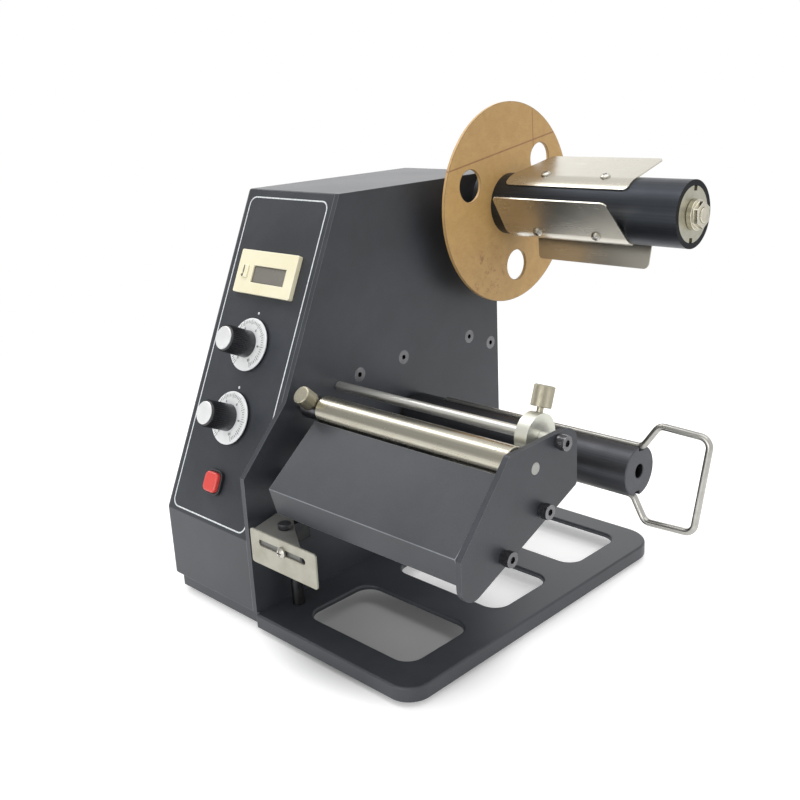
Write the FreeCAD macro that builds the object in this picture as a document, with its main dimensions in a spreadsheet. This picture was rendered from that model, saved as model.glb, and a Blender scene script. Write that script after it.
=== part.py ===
import FreeCAD, Part
import math
import os
import re
import Sketcher
from FreeCAD import Placement, Rotation, Vector

# Desk label dispenser: a wedge-shaped control cabinet on a windowed base plate, with a peel plate,
# rollers, a supply spindle and a motor-driven take-up roller carried by its right-hand main plate.
# Machine frame while drawing: X = 0 on the outer face of the main plate (+X to the roller side),
# Y = 0 on the cabinet's front, Z = 0 on top of the base plate. Every sub-part's Placement then moves it
# to the part frame, whose origin is the middle of the footprint at table height.

SIZES = [
    # cabinet
    ("cabinet_width", 77), ("cabinet_height", 208), ("cabinet_depth", 202), ("sill_height", 40.5),
    ("panel_tilt", 24.6), ("main_plate_thickness", 3), ("nose_height", 75), ("nose_angle", 46.7),
    ("sheet_wall", 1.2), ("bend_radius", 4), ("tray_wall", 1.5), ("tray_flange", 12),
    ("seam_clearance", 0.1),
    # base pan and feet
    ("base_depth", 7.5), ("base_sheet", 2.5), ("base_right", 112.3), ("base_inset_left", 5.5),
    ("base_front_lip", 1), ("base_front_recess", 2), ("base_rear_lip", 6), ("base_corner", 12),
    ("base_rear_corner", 18), ("base_step_round", 1.4),
    ("base_edge_round", 1.2), ("window_left", 21), ("window_width", 74), ("window_front", 17),
    ("window_rear", 15), ("window_bar", 21), ("window_corner", 9), ("window_count", 3),
    ("foot_diameter", 12), ("foot_taper", 1), ("foot_height", 8), ("foot_inset", 12),
    ("foot_dish", 1), ("pan_screw", 4), ("pan_head", 7.5), ("pan_head_height", 2.4),
    ("pan_screw_length", 9), ("tray_screw_inset", 14), ("tray_screw_side", 16), ("screw_clearance", 0.15),
    # stay rods between main plate and cover
    ("stay_diameter", 9), ("stay_screw", 4), ("stay_screw_head", 7.8), ("stay_screw_length", 12),
    ("stay_front_y", 83.4), ("stay_front_z", 110), ("stay_mid_y", 118), ("stay_mid_z", 112),
    ("stay_rear_y", 175), ("stay_rear_z", 112), ("stay_edge_y", 195), ("stay_edge_z", 104),
    # right-hand side plate and the rods that carry it
    ("bridge_inner", 140.5), ("side_plate_thickness", 3), ("side_plate_front", 0.8),
    ("side_plate_nose", 74.5), ("side_plate_low", 49.7), ("side_plate_top_front", 33.3),
    ("side_plate_top", 110.7), ("side_plate_top_rise", 1.1), ("side_plate_rear", 81.7),
    ("side_plate_rear_low", 82.9), ("side_plate_round", 8), ("side_plate_small_round", 2),
    ("tie_rod_diameter", 10), ("tie_front_y", 28.2), ("tie_front_z", 66.5),
    ("tie_rear_y", 54.8), ("tie_rear_z", 79.2),
    ("guide_rod_diameter", 5.2), ("guide_rod_y", 67.5), ("guide_rod_z", 107.5),
    ("liner_rod_diameter", 6), ("liner_rod_y", 51.1), ("liner_rod_z", 99.7),
    ("cap_screw", 3), ("cap_head", 7), ("cap_head_height", 3.8), ("cap_socket", 3),
    ("cap_socket_depth", 1.8), ("cap_screw_grip", 10), ("washer_thickness", 1.2), ("washer_diameter", 6.6),
    # peel plate on two ribs
    ("peel_left", 19.5), ("peel_edge_y", 0.5), ("peel_edge_z", 75), ("peel_top_length", 41.6),
    ("peel_top_angle", 39), ("peel_lip_length", 4), ("peel_lip_angle", -58), ("peel_flange_length", 15.1),
    ("peel_flange_angle", -74.7), ("peel_thickness", 1.5), ("rib_thickness", 4), ("rib_inset", 3),
    ("rib_margin", 3.2),
    # guide roller, its axle and the fixed collar
    ("roller_y", 40.5), ("roller_z", 104.9), ("roller_diameter", 14.6), ("roller_axle_diameter", 6),
    ("roller_wall", 1.4), ("roller_end_plug", 8), ("roller_left", 19.5), ("axle_seat", 1.5),
    ("collar_left", 7), ("collar_length", 11.8), ("collar_diameter", 12.4), ("collar_screw_x", 14.2),
    ("collar_screw_angle", 47), ("collar_screw_head", 9.5), ("collar_screw_reach", 15),
    ("thumb_thread", 3), ("thumb_tip_gap", 0.2), ("thumb_edge", 0.5),
    # label guide ring on the guide rod
    ("ring_diameter", 21.5), ("ring_width", 6.8), ("ring_right", 134), ("ring_screw_angle", -20),
    ("ring_screw_head", 9.5), ("ring_screw_head_length", 10), ("ring_screw_neck", 2.3),
    # take-up roller, its worm gear drive and the wire clip
    ("take_up_y", 124.5), ("take_up_z", 77), ("take_up_diameter", 25), ("take_up_left", 2),
    ("take_up_right", 150), ("take_up_bore", 7), ("take_up_bore_depth", 24), ("take_up_tilt", 7),
    ("shaft_diameter", 10), ("shaft_socket", 30), ("bush_wall", 2), ("bush_flange", 1.2),
    ("bush_flange_rim", 3), ("gearbox_width", 36), ("gearbox_depth", 46), ("gearbox_length", 50),
    ("gearbox_round", 4), ("motor_diameter", 32), ("motor_length", 44), ("motor_neck", 5),
    ("wire_diameter", 3.4), ("wire_proud", 1.4), ("wire_side_clearance", 0.2), ("clip_left", 25),
    ("clip_handle_half", 24.2), ("clip_flare_x", 150.5), ("clip_shoulder_x", 158.5),
    ("clip_top_reach", 185), ("clip_bottom_reach", 181), ("clip_low_flare_x", 147.5),
    ("clip_low_shoulder_x", 155.5), ("clip_bend", 5), ("clip_handle_drop", 1), ("groove_overrun", 2),
    # supply spindle
    ("spindle_back", 6), ("spindle_down", 17.8), ("axle_diameter", 8), ("axle_shoulder", 12),
    ("axle_shoulder_length", 7.7), ("axle_thread_length", 3.6),
    ("block_depth", 20), ("block_width", 22), ("block_tall", 26),
    ("disc_diameter", 115), ("disc_thickness", 2), ("disc_left", 14), ("disc_hole", 18),
    ("disc_hole_circle", 75), ("disc_hole_angle", 39), ("disc_hole_count", 3),
    ("hub_flange_diameter", 50), ("hub_spigot_length", 20), ("tube_diameter", 35), ("tube_wall", 3),
    ("tube_right", 134), ("bearing_diameter", 22), ("bearing_width", 7), ("end_plate_thickness", 9),
    ("end_notch_width", 3.2), ("end_notch_depth", 2.6), ("end_lip", 2), ("end_bore", 15.5),
    ("nut_flats", 12), ("nut_height", 2.8), ("spindle_washer", 16), ("spindle_washer_thickness", 3),
    ("leaf_thickness", 0.8), ("leaf_reach", 29), ("leaf_wrap", 32), ("leaf_angle", 105),
    ("leaf_left", 23), ("leaf_length", 80), ("leaf_slant", 7), ("leaf_free_length", 73),
    ("leaf_corner", 3), ("leaf_count", 3),
    ("leaf_screw", 3), ("leaf_screw_head", 5.4), ("leaf_screw_head_height", 1.6),
    ("leaf_screw_first", 45.5), ("leaf_screw_pitch", 39),
    # control panel, positions across and up the slanted face
    ("panel_middle", -38.8), ("counter_down", 46.8), ("counter_width", 48), ("counter_tall", 24),
    ("counter_lip", 3), ("counter_body_width", 44.8), ("counter_body_tall", 21.8),
    ("counter_body_depth", 28),
    ("cutout_clearance", 0.2), ("counter_window_width", 27.6), ("counter_window_tall", 9.4),
    ("counter_window_shift", 3), ("counter_window_depth", 1), ("counter_window_up", 1),
    ("reset_width", 4.5), ("reset_tall", 7), ("reset_shift", 16.8), ("reset_travel", 0.8),
    ("length_up", 98.5), ("speed_up", 57.9), ("dial_diameter", 29), ("dial_thickness", 1.6),
    ("dial_gap", 1.4), ("knob_diameter", 15), ("knob_top_diameter", 13.4), ("knob_height", 19),
    ("knob_edge", 1), ("knob_bore_depth", 10), ("pot_diameter", 24), ("pot_depth", 10),
    ("pot_bush", 9.4), ("pot_shaft", 6), ("pot_nut_flats", 12), ("pot_nut_height", 1),
    ("lamp_up", 22.4), ("lamp_size", 13.4), ("lamp_lens_size", 10.8), ("lamp_lip", 2.2),
    ("lamp_lens_proud", 2.2), ("lamp_corner", 4), ("lamp_lens_corner", 3),
    ("lamp_barrel", 10), ("lamp_depth", 18),
    # rear inlet and switch
    ("inlet_width", 27), ("inlet_tall", 19.6), ("inlet_flange_width", 48), ("inlet_flange_tall", 22.4),
    ("inlet_flange", 2.4), ("inlet_depth", 18), ("inlet_recess", 14), ("inlet_wall", 2),
    ("inlet_z", 30), ("blade_length", 9), ("blade_width", 2), ("blade_tall", 4), ("blade_side", 7),
    ("blade_side_drop", 1.5), ("blade_middle_rise", 2), ("switch_width", 13), ("switch_tall", 19.5),
    ("switch_lip", 2), ("switch_depth", 16), ("switch_z", 62), ("switch_wall", 1.5), ("rocker_angle", 9),
    ("rocker_gap", 0.3), ("rocker_end_gap", 1.1), ("rocker_back", 4), ("rocker_back_half", 2),
    ("rocker_crest", 3.6), ("rocker_dip", 1.6), ("rocker_pin", 1.6),
    # electronics in the cabinet
    ("board_length", 78), ("board_width", 56), ("board_thickness", 1.6), ("board_front", 12),
    ("board_leg_inset", 5), ("board_leg_diameter", 6), ("board_standoff", 6), ("board_height", 9),
    ("relay_left", 6), ("relay_front", 12), ("relay_width", 16), ("relay_depth", 20),
    ("terminal_left", 30), ("terminal_front", 12), ("terminal_width", 20), ("terminal_depth", 8),
    ("chip_left", 32), ("chip_front", 34), ("chip_width", 18), ("chip_depth", 7),
    ("capacitor_left", 16), ("capacitor_front", 50), ("capacitor_diameter", 16),
    ("transformer_width", 44), ("transformer_depth", 38), ("transformer_tall", 36),
    ("transformer_back", 42),
    # label sensor on its post
    ("post_x", 8.6), ("post_y", 21.5), ("post_diameter", 6.6), ("post_height", 49.8),
    ("clamp_left", 2.1), ("clamp_right", 17.1), ("clamp_front", 12.5), ("clamp_rear", 26.5),
    ("clamp_height", 11), ("bracket_thickness", 1.2), ("bracket_left", 7.1), ("bracket_right", 44),
    ("bracket_front", -2), ("bracket_rear", 17.8), ("bracket_rear_left", 1), ("bracket_rear_right", 14.8),
    ("bracket_bend_x", 24), ("bracket_bend_y", 10.9), ("bracket_tab", 12), ("sensor_plate_left", 7.4),
    ("sensor_plate_length", 49.5), ("sensor_plate_tall", 18.4), ("sensor_plate_rise", 1.8),
    ("sensor_plate_corner", 1.5), ("sensor_slot_left", 6.4), ("sensor_slot_length", 35.4), ("sensor_slot_width", 3.2),
    ("sensor_slot_down", 4.4), ("sensor_screw_x", 32.2), ("sensor_screw_head", 5.6),
    ("sensor_screw_head_height", 2), ("sensor_screw", 2.8), ("sensor_eye_x", 19.2),
    ("sensor_eye_y", 8.5), ("sensor_eye_diameter", 7), ("sensor_eye_height", 3),
    # fits between pieces that turn or slide on each other, radial
    ("running_fit", 0.05), ("slide_fit", 0.1),
]

# Places that follow from the sizes above, written with their names.
DERIVED = {
    "panel_top_y": "(cabinet_height - sill_height) * tan(panel_tilt)",
    "panel_length": "(cabinet_height - sill_height) / cos(panel_tilt)",
    "nose_back_z": "(nose_height / tan(nose_angle) - sill_height * tan(panel_tilt))"
                   " / (1 / tan(nose_angle) - tan(panel_tilt))",
    "nose_back_y": "(nose_back_z - sill_height) * tan(panel_tilt)",
    "base_left": "base_inset_left - cabinet_width",
    "base_rear": "cabinet_depth + base_rear_lip",
    "window_depth": "(base_rear + base_front_lip - window_front - window_rear"
                    " - (window_count - 1) * window_bar) / window_count",
    "window_pitch": "window_depth + window_bar",
    "counter_up": "panel_length - counter_down",
    "transformer_y": "cabinet_depth - transformer_back",
    "spindle_y": "cabinet_depth - spindle_back",
    "spindle_z": "cabinet_height - spindle_down",
    "cabinet_left_inside": "sheet_wall - cabinet_width",
    "bridge_outer": "bridge_inner + side_plate_thickness",
    "tube_bore": "tube_diameter - 2 * tube_wall",
    "wire_orbit": "take_up_diameter / 2 + wire_proud - wire_diameter / 2",
    "mid_x": "(clip_top_reach + wire_diameter / 2 - cabinet_width - pan_head_height) / 2",
    "front_reach": "bracket_front - 2 * bracket_thickness - sensor_screw_head_height",
    "mid_y": "(spindle_y + disc_diameter / 2 + front_reach) / 2",
    "table_z": "-base_sheet - foot_height",
    "disc_right": "disc_left + disc_thickness",
    "axle_end": "tube_right + spindle_washer_thickness + axle_thread_length",
}

doc = FreeCAD.newDocument("LabelDispenser")
sheet = doc.addObject("Spreadsheet::Sheet", "Sizes")
for row, (name, value) in enumerate(SIZES, start=1):
    sheet.set(f"A{row}", name)
    sheet.set(f"B{row}", str(value))
    sheet.setAlias(f"B{row}", name)
doc.recompute()
ALIASES = {name for name, value in SIZES}
sub_parts = []


def ex(text):
    """Expression text with derived places written out and every size read from the sheet."""
    def swap(match):
        word = match.group(0)
        if word in DERIVED:
            return "(" + ex(DERIVED[word]) + ")"
        return "Sizes." + word if word in ALIASES else word
    return re.sub(r"[A-Za-z_][A-Za-z_0-9]*", swap, str(text))


def val(text):
    """The number that an expression comes to."""
    result = sheet.evalExpression(ex(text))
    return float(getattr(result, "Value", result))


# ---------------------------------------------------------------- placing and drawing

X_AXIS = Vector(1, 0, 0)
TO_X = Rotation(Vector(0, 1, 0), 90)


def put(obj, x="0", y="0", z="0", turn=None, angle=None):
    """Move a sub-part from its drawing frame to the part frame; turn is a Rotation or an axis."""
    if angle is not None:
        obj.Placement = Placement(Vector(), Rotation(turn, 1))
        obj.setExpression("Placement.Rotation.Angle", ex(angle))
    elif turn is not None:
        obj.Placement = Placement(Vector(), turn)
    obj.setExpression("Placement.Base.x", ex(f"{x} - mid_x"))
    obj.setExpression("Placement.Base.y", ex(f"{y} - mid_y"))
    obj.setExpression("Placement.Base.z", ex(f"{z} - table_z"))


def put_on_panel(obj, across, up, out="0"):
    """Local X across the panel, local Y up its slope, local Z out of it."""
    put(obj, across, f"({up}) * sin(panel_tilt) - ({out}) * cos(panel_tilt)",
        f"sill_height + ({up}) * cos(panel_tilt) + ({out}) * sin(panel_tilt)", X_AXIS, "90 - panel_tilt")


def new_body(label):
    body = doc.addObject("PartDesign::Body", label)
    body.Label = label
    sub_parts.append(body)
    return body


def feature_shape(label, shape):
    """A sub-part whose form is made by Part's functions."""
    obj = doc.addObject("Part::Feature", label)
    obj.Label = label
    obj.Shape = shape
    sub_parts.append(obj)
    return obj


def sketch(body, plane, offset="0"):
    """Sketch on one of the body's own origin planes, moved along the plane's normal."""
    support = [item for item in body.Origin.OriginFeatures if item.Role == plane][0]
    drawing = body.newObject("Sketcher::SketchObject", "Sketch")
    drawing.AttachmentSupport = (support, [""])
    drawing.MapMode = "FlatFace"
    drawing.setExpression("AttachmentOffset.Base.z", ex(offset))
    return drawing


def hold(drawing, kind, *where, value):
    """Add one dimension and bind it to its expression."""
    index = drawing.addConstraint(Sketcher.Constraint(kind, *where, val(value)))
    drawing.setExpression(f"Constraints[{index}]", ex(value))


def polygon(drawing, corners):
    """Closed outline whose corners each have their two expressions."""
    points = [Vector(val(across), val(up), 0) for across, up in corners]
    first = drawing.GeometryCount
    count = len(points)
    for index in range(count):
        drawing.addGeometry(Part.LineSegment(points[index], points[(index + 1) % count]))
    for index in range(count):
        following = first + (index + 1) % count
        drawing.addConstraint(Sketcher.Constraint("Coincident", first + index, 2, following, 1))
    for index, (across, up) in enumerate(corners):
        hold(drawing, "DistanceX", -1, 1, first + index, 1, value=across)
        hold(drawing, "DistanceY", -1, 1, first + index, 1, value=up)


def rectangle(drawing, left, low, right, high):
    polygon(drawing, [(left, low), (right, low), (right, high), (left, high)])


def circle(drawing, across, up, radius):
    index = drawing.addGeometry(Part.Circle(Vector(val(across), val(up), 0), Vector(0, 0, 1), val(radius)))
    hold(drawing, "DistanceX", -1, 1, index, 3, value=across)
    hold(drawing, "DistanceY", -1, 1, index, 3, value=up)
    hold(drawing, "Radius", index, value=radius)


def settle(feature):
    """Recompute and stop at once if this feature failed."""
    doc.recompute()
    if not feature.isValid():
        raise ValueError(f"{feature.getParentGeoFeatureGroup().Label}: {feature.Label} failed")
    return feature


def pad(body, drawing, length, back=False):
    feature = body.newObject("PartDesign::Pad", "Pad")
    feature.Profile = drawing
    feature.Reversed = back
    feature.setExpression("Length", ex(length))
    return settle(feature)


def pocket(body, drawing, length, midplane=False, back=False):
    """Cut against the sketch's normal; midplane cuts both ways, back cuts along the normal."""
    before = body.Shape.Volume
    feature = body.newObject("PartDesign::Pocket", "Pocket")
    feature.Profile = drawing
    feature.Midplane = midplane
    feature.Reversed = back
    feature.setExpression("Length", ex(length))
    settle(feature)
    if body.Shape.Volume >= before:
        raise ValueError(f"{body.Label}: a pocket cut nothing")
    return feature


def spin(body, drawing):
    """Revolve a half section about the sketch's vertical axis."""
    feature = body.newObject("PartDesign::Revolution", "Revolution")
    feature.Profile = drawing
    feature.ReferenceAxis = (drawing, ["V_Axis"])
    feature.Angle = 360
    return settle(feature)


def edges_that(feature, test):
    edges = enumerate(feature.Shape.Edges, start=1)
    return [f"Edge{index}" for index, edge in edges if test(edge.BoundBox)]


def fillet(body, base, names, radius):
    feature = body.newObject("PartDesign::Fillet", "Fillet")
    feature.Base = (base, names)
    feature.setExpression("Radius", ex(radius))
    return settle(feature)


def near(number, expression, tolerance=1e-3):
    return abs(number - val(expression)) < tolerance


def turned(label, section):
    """Body of revolution about local Z from (radius, height) corners."""
    body = new_body(label)
    drawing = sketch(body, "XZ_Plane")
    polygon(drawing, section)
    spin(body, drawing)
    return body


def turned_x(label, section, y, z, x="0"):
    """Body of revolution about an axis parallel to X; heights of the section run along +X."""
    body = turned(label, section)
    put(body, x, y, z, TO_X)
    return body


def tube_section(outer, inner, low, high):
    """Corners of a sleeve, or of a solid bar where inner is 0."""
    return [(inner, low), (outer, low), (outer, high), (inner, high)]


def linked_copies(pattern, places):
    """Links to one pattern piece, each at its own place and turn."""
    links = []
    for x, y, z, turn in places:
        link = doc.addObject("App::Link", pattern.Label + "_copy")
        link.LinkedObject = pattern
        link.LinkTransform = False
        link.Placement = Placement(Vector(), turn)
        for side, text in zip("xyz", (x, y, z)):
            link.setExpression(f"Placement.Base.{side}", ex(text))
        links.append(link)
    return links


def group(label, *sets):
    """One node of like pieces, from one or more pairs of a pattern piece and its places."""
    links = [link for pattern, places in sets for link in linked_copies(pattern, places)]
    node = doc.addObject("Part::Compound", label)
    node.Label = label
    node.Links = links
    put(node)
    sub_parts.append(node)
    doc.recompute()
    return node


def master(label, section):
    """A turned piece that only serves as the pattern for a group."""
    body = turned(label, section)
    sub_parts.remove(body)
    return body


NO_TURN = Rotation()
FROM_BELOW = Rotation(X_AXIS, 180)
TO_MINUS_X = Rotation(Vector(0, 1, 0), -90)


# ---------------------------------------------------------------- base plate, feet and their screws

FOOT_PLACES = [
    ("base_right - foot_inset", "foot_inset - base_front_lip"),
    ("base_right - foot_inset", "base_rear - foot_inset"),
    ("base_left + foot_inset", "foot_inset + base_front_recess"),
    ("base_left + foot_inset", "base_rear - foot_inset"),
]
TRAY_SCREW_PLACES = [
    ("-main_plate_thickness - tray_wall - tray_screw_side", "tray_screw_inset"),
    ("-main_plate_thickness - tray_wall - tray_screw_side", "cabinet_depth - tray_screw_inset"),
    ("base_left + foot_inset + tray_screw_inset", "2 * tray_screw_inset"),
    ("base_left + foot_inset + tray_screw_inset", "cabinet_depth - tray_screw_inset"),
]


def make_base_plate():
    """Steel pan, open below, with three hand windows; its front steps back below the cabinet."""
    body = new_body("base_plate")
    drawing = sketch(body, "XY_Plane", "-base_depth")
    polygon(drawing, [
        ("base_left", "base_front_recess"), ("0", "base_front_recess"), ("0", "-base_front_lip"),
        ("base_right", "-base_front_lip"), ("base_right", "base_rear"), ("base_left", "base_rear"),
    ])
    plate = pad(body, drawing, "base_depth")

    def upright(shape, *places):
        return edges_that(shape, lambda box: box.ZLength > 1 and box.XLength < 1e-6 and box.YLength < 1e-6
                          and any(near(box.XMin, x) and near(box.YMin, y) for x, y in places))

    front, rear, left = "-base_front_lip", "base_rear", "base_left"
    rounded = fillet(body, plate, upright(plate, ("base_right", front)), "base_corner")
    rounded = fillet(body, rounded, upright(rounded, ("base_right", rear)), "base_rear_corner")
    open_face = [f"Face{index}" for index, face in enumerate(rounded.Shape.Faces, start=1)
                 if near(face.BoundBox.ZMax, "-base_depth")]
    pan = body.newObject("PartDesign::Thickness", "Pan")
    pan.Base = (rounded, open_face)
    pan.Reversed = True
    pan.setExpression("Value", ex("base_sheet"))
    settle(pan)
    step = upright(pan, ("0", front), ("0", "base_front_recess"), (left, "base_front_recess"), (left, rear))
    fillet(body, pan, step, "base_step_round")
    window = sketch(body, "XY_Plane")
    low = "window_front - base_front_lip"
    rectangle(window, "window_left", low, "window_left + window_width", f"{low} + window_depth")
    cut = pocket(body, window, "2 * base_depth", midplane=True)
    pattern = body.newObject("PartDesign::LinearPattern", "Windows")
    pattern.Originals = [cut]
    pattern.Direction = (window, ["V_Axis"])
    pattern.Mode = "Spacing"
    pattern.setExpression("Offset", ex("window_pitch"))
    pattern.setExpression("Occurrences", ex("window_count"))
    body.Tip = pattern
    doc.recompute()
    sides = ("window_left", "window_left + window_width")
    corners = edges_that(pattern, lambda box: box.ZLength > 1 and box.XLength < 1e-6
                         and box.YLength < 1e-6 and any(near(box.XMin, side) for side in sides))
    rounded = fillet(body, pattern, corners, "window_corner")
    top = edges_that(rounded, lambda box: box.ZLength < 1e-6 and abs(box.ZMax) < 1e-6)
    fillet(body, rounded, top, "base_edge_round")
    holes = sketch(body, "XY_Plane")
    for x, y in TRAY_SCREW_PLACES + [("post_x", "post_y")]:
        circle(holes, x, y, "pan_screw / 2 + screw_clearance")
    pocket(body, holes, "2 * base_depth", midplane=True)
    put(body)


def make_feet():
    """Four rubber feet stuck under the pan's sheet, dished below, standing just proud of its edge."""
    rim = "foot_diameter / 2 - foot_taper"
    foot = master("foot_pattern", [
        ("0", "foot_dish - foot_height"), (f"{rim} - 2 * foot_dish", "foot_dish - foot_height"),
        (f"{rim} - foot_dish", "-foot_height"), (rim, "-foot_height"), ("foot_diameter / 2", "0"), ("0", "0"),
    ])
    group("rubber_feet", (foot, [(x, y, "-base_sheet", NO_TURN) for x, y in FOOT_PLACES]))


# ---------------------------------------------------------------- cabinet shell

STAYS = [("stay_front_y", "stay_front_z"), ("stay_mid_y", "stay_mid_z"),
         ("stay_rear_y", "stay_rear_z"), ("stay_edge_y", "stay_edge_z")]
CAPPED_RODS = [("tie_front_y", "tie_front_z"), ("tie_rear_y", "tie_rear_z"), ("guide_rod_y", "guide_rod_z")]


def make_main_plate():
    """The cabinet's right wall, 3 mm plate with a nose under the peel edge; it carries all mechanics."""
    body = new_body("main_plate")
    drawing = sketch(body, "YZ_Plane", "-main_plate_thickness")
    polygon(drawing, [
        ("0", "0"), ("0", "nose_height"), ("nose_back_y", "nose_back_z"), ("panel_top_y", "cabinet_height"),
        ("cabinet_depth", "cabinet_height"), ("cabinet_depth", "0"),
    ])
    plate = pad(body, drawing, "main_plate_thickness")
    holes = sketch(body, "YZ_Plane")
    for y, z in CAPPED_RODS:
        circle(holes, y, z, "cap_screw / 2 + screw_clearance")
    circle(holes, "roller_y", "roller_z", "roller_axle_diameter / 2")
    circle(holes, "liner_rod_y", "liner_rod_z", "liner_rod_diameter / 2")
    circle(holes, "take_up_y", "take_up_z", "shaft_diameter / 2 + bush_wall")
    circle(holes, "spindle_y", "spindle_z", "axle_diameter / 2")
    pocket(body, holes, "3 * main_plate_thickness", midplane=True)
    seats = sketch(body, "YZ_Plane")
    for y, z in STAYS:
        circle(seats, y, z, "stay_screw / 2")
    doc.recompute()
    sink = body.newObject("PartDesign::Hole", "Countersinks")
    sink.Profile = seats
    doc.recompute()
    sink.DepthType = "ThroughAll"
    sink.Threaded = False
    sink.setExpression("Diameter", ex("stay_screw"))
    sink.HoleCutType = "Countersink"
    sink.HoleCutCustomValues = True
    sink.setExpression("HoleCutDiameter", ex("stay_screw_head"))
    sink.HoleCutCountersinkAngle = 90
    doc.recompute()
    put(body)


def outer_fold(box):
    """Whether an edge along X lies on the cabinet's outer outline, not on its inside."""
    corners = [("0", "sill_height"), ("panel_top_y", "cabinet_height"), ("cabinet_depth", "cabinet_height")]
    return any(near(box.YMin, y) and near(box.ZMin, z) for y, z in corners)


def make_cabinet_cover():
    """Folded sheet cover: left side, front, slanted panel, top and back, open below and to the right."""
    body = new_body("cabinet_cover")
    drawing = sketch(body, "YZ_Plane", "-cabinet_width")
    polygon(drawing, [
        ("0", "0"), ("0", "sill_height"), ("panel_top_y", "cabinet_height"),
        ("cabinet_depth", "cabinet_height"), ("cabinet_depth", "0"),
    ])
    block = pad(body, drawing, "cabinet_width - main_plate_thickness")
    bends = edges_that(block, lambda box: box.ZMax > 1 and near(box.XMax, "-cabinet_width"))
    block = fillet(body, block, bends, "bend_radius")
    opened = [f"Face{index}" for index, face in enumerate(block.Shape.Faces, start=1)
              if (near(face.BoundBox.XMin, "-main_plate_thickness")
                  or (abs(face.BoundBox.ZMax) < 1e-6 and face.BoundBox.ZLength < 1e-6))]
    shell = body.newObject("PartDesign::Thickness", "Shell")
    shell.Base = (block, opened)
    shell.Reversed = True
    shell.setExpression("Value", ex("sheet_wall"))
    settle(shell)
    folds = edges_that(shell, lambda box: near(box.XMax, "-main_plate_thickness") and box.ZMax > 1
                       and box.XLength > val("bend_radius") and box.YLength < 1e-6 and outer_fold(box))
    fillet(body, shell, folds, "0.8 * sheet_wall")
    panel = sketch(body, "XY_Plane", "sill_height")
    panel.AttachmentOffset = Placement(Vector(), Rotation(X_AXIS, 1))
    panel.setExpression("AttachmentOffset.Base.z", ex("sill_height"))
    panel.setExpression("AttachmentOffset.Rotation.Angle", ex("90 - panel_tilt"))
    rectangle(panel, "panel_middle - counter_body_width / 2 - cutout_clearance",
              "counter_up - counter_body_tall / 2 - cutout_clearance",
              "panel_middle + counter_body_width / 2 + cutout_clearance",
              "counter_up + counter_body_tall / 2 + cutout_clearance")
    circle(panel, "panel_middle", "length_up", "pot_bush / 2")
    circle(panel, "panel_middle", "speed_up", "pot_bush / 2")
    circle(panel, "panel_middle", "lamp_up", "lamp_barrel / 2")
    pocket(body, panel, "6 * sheet_wall", midplane=True)
    back = sketch(body, "XZ_Plane", "-cabinet_depth")
    for fitting in ("inlet", "switch"):
        across = f"({fitting}_width / 2 + cutout_clearance)"
        tall = f"({fitting}_tall / 2 + cutout_clearance)"
        rectangle(back, f"panel_middle - {across}", f"{fitting}_z - {tall}",
                  f"panel_middle + {across}", f"{fitting}_z + {tall}")
    pocket(body, back, "6 * sheet_wall", midplane=True)
    side = sketch(body, "YZ_Plane", "-cabinet_width")
    for y, z in STAYS:
        circle(side, y, z, "pan_screw / 2 + screw_clearance")
    pocket(body, side, "6 * sheet_wall", midplane=True)
    put(body)


def make_bottom_tray():
    """Floor tray inside the cover, with an upturned flange against the main plate."""
    body = new_body("bottom_tray")
    left = "cabinet_left_inside + seam_clearance"
    inner = "-main_plate_thickness"
    drawing = sketch(body, "XZ_Plane", "-sheet_wall - seam_clearance")
    polygon(drawing, [
        (left, "0"), (inner, "0"), (inner, "tray_flange"), (f"{inner} - tray_wall", "tray_flange"),
        (f"{inner} - tray_wall", "tray_wall"), (left, "tray_wall"),
    ])
    pad(body, drawing, "cabinet_depth - 2 * sheet_wall - 2 * seam_clearance", back=True)
    holes = sketch(body, "XY_Plane")
    for x, y in TRAY_SCREW_PLACES:
        circle(holes, x, y, "pan_screw / 2")
    pocket(body, holes, "4 * tray_wall", midplane=True)
    put(body)


def make_stays():
    """Round stays from the main plate to the cover's left side, tapped at both ends."""
    reach = "cabinet_width - main_plate_thickness - sheet_wall"
    rod = master("stay_pattern", [
        ("0", "stay_screw_length"), ("stay_screw / 2", "stay_screw_length"), ("stay_screw / 2", "0"),
        ("stay_diameter / 2", "0"), ("stay_diameter / 2", reach), ("stay_screw / 2", reach),
        ("stay_screw / 2", f"{reach} - stay_screw_length"), ("0", f"{reach} - stay_screw_length"),
    ])
    group("stay_rods", (rod, [("cabinet_left_inside", y, z, TO_X) for y, z in STAYS]))
    head = "stay_screw_head / 2"
    screw = master("stay_screw_pattern", [
        ("0", "0"), (head, "0"), ("stay_screw / 2", f"{head} - stay_screw / 2"),
        ("stay_screw / 2", "stay_screw_length"), ("0", "stay_screw_length"),
    ])
    group("main_plate_screws", (screw, [("0", y, z, TO_MINUS_X) for y, z in STAYS]))


def make_pan_screws():
    """Pan-head screws of one kind: up into the tray, up into the sensor post and into the stays."""
    screw = master("pan_screw_pattern", [
        ("0", "-pan_head_height"), ("pan_head / 2", "-pan_head_height"), ("pan_head / 2", "0"),
        ("pan_screw / 2", "0"), ("pan_screw / 2", "pan_screw_length"), ("0", "pan_screw_length"),
    ])
    places = [(x, y, "-base_sheet", NO_TURN) for x, y in TRAY_SCREW_PLACES + [("post_x", "post_y")]]
    places += [("-cabinet_width", y, z, TO_X) for y, z in STAYS]
    group("pan_screws", (screw, places))


# ---------------------------------------------------------------- control panel

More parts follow.
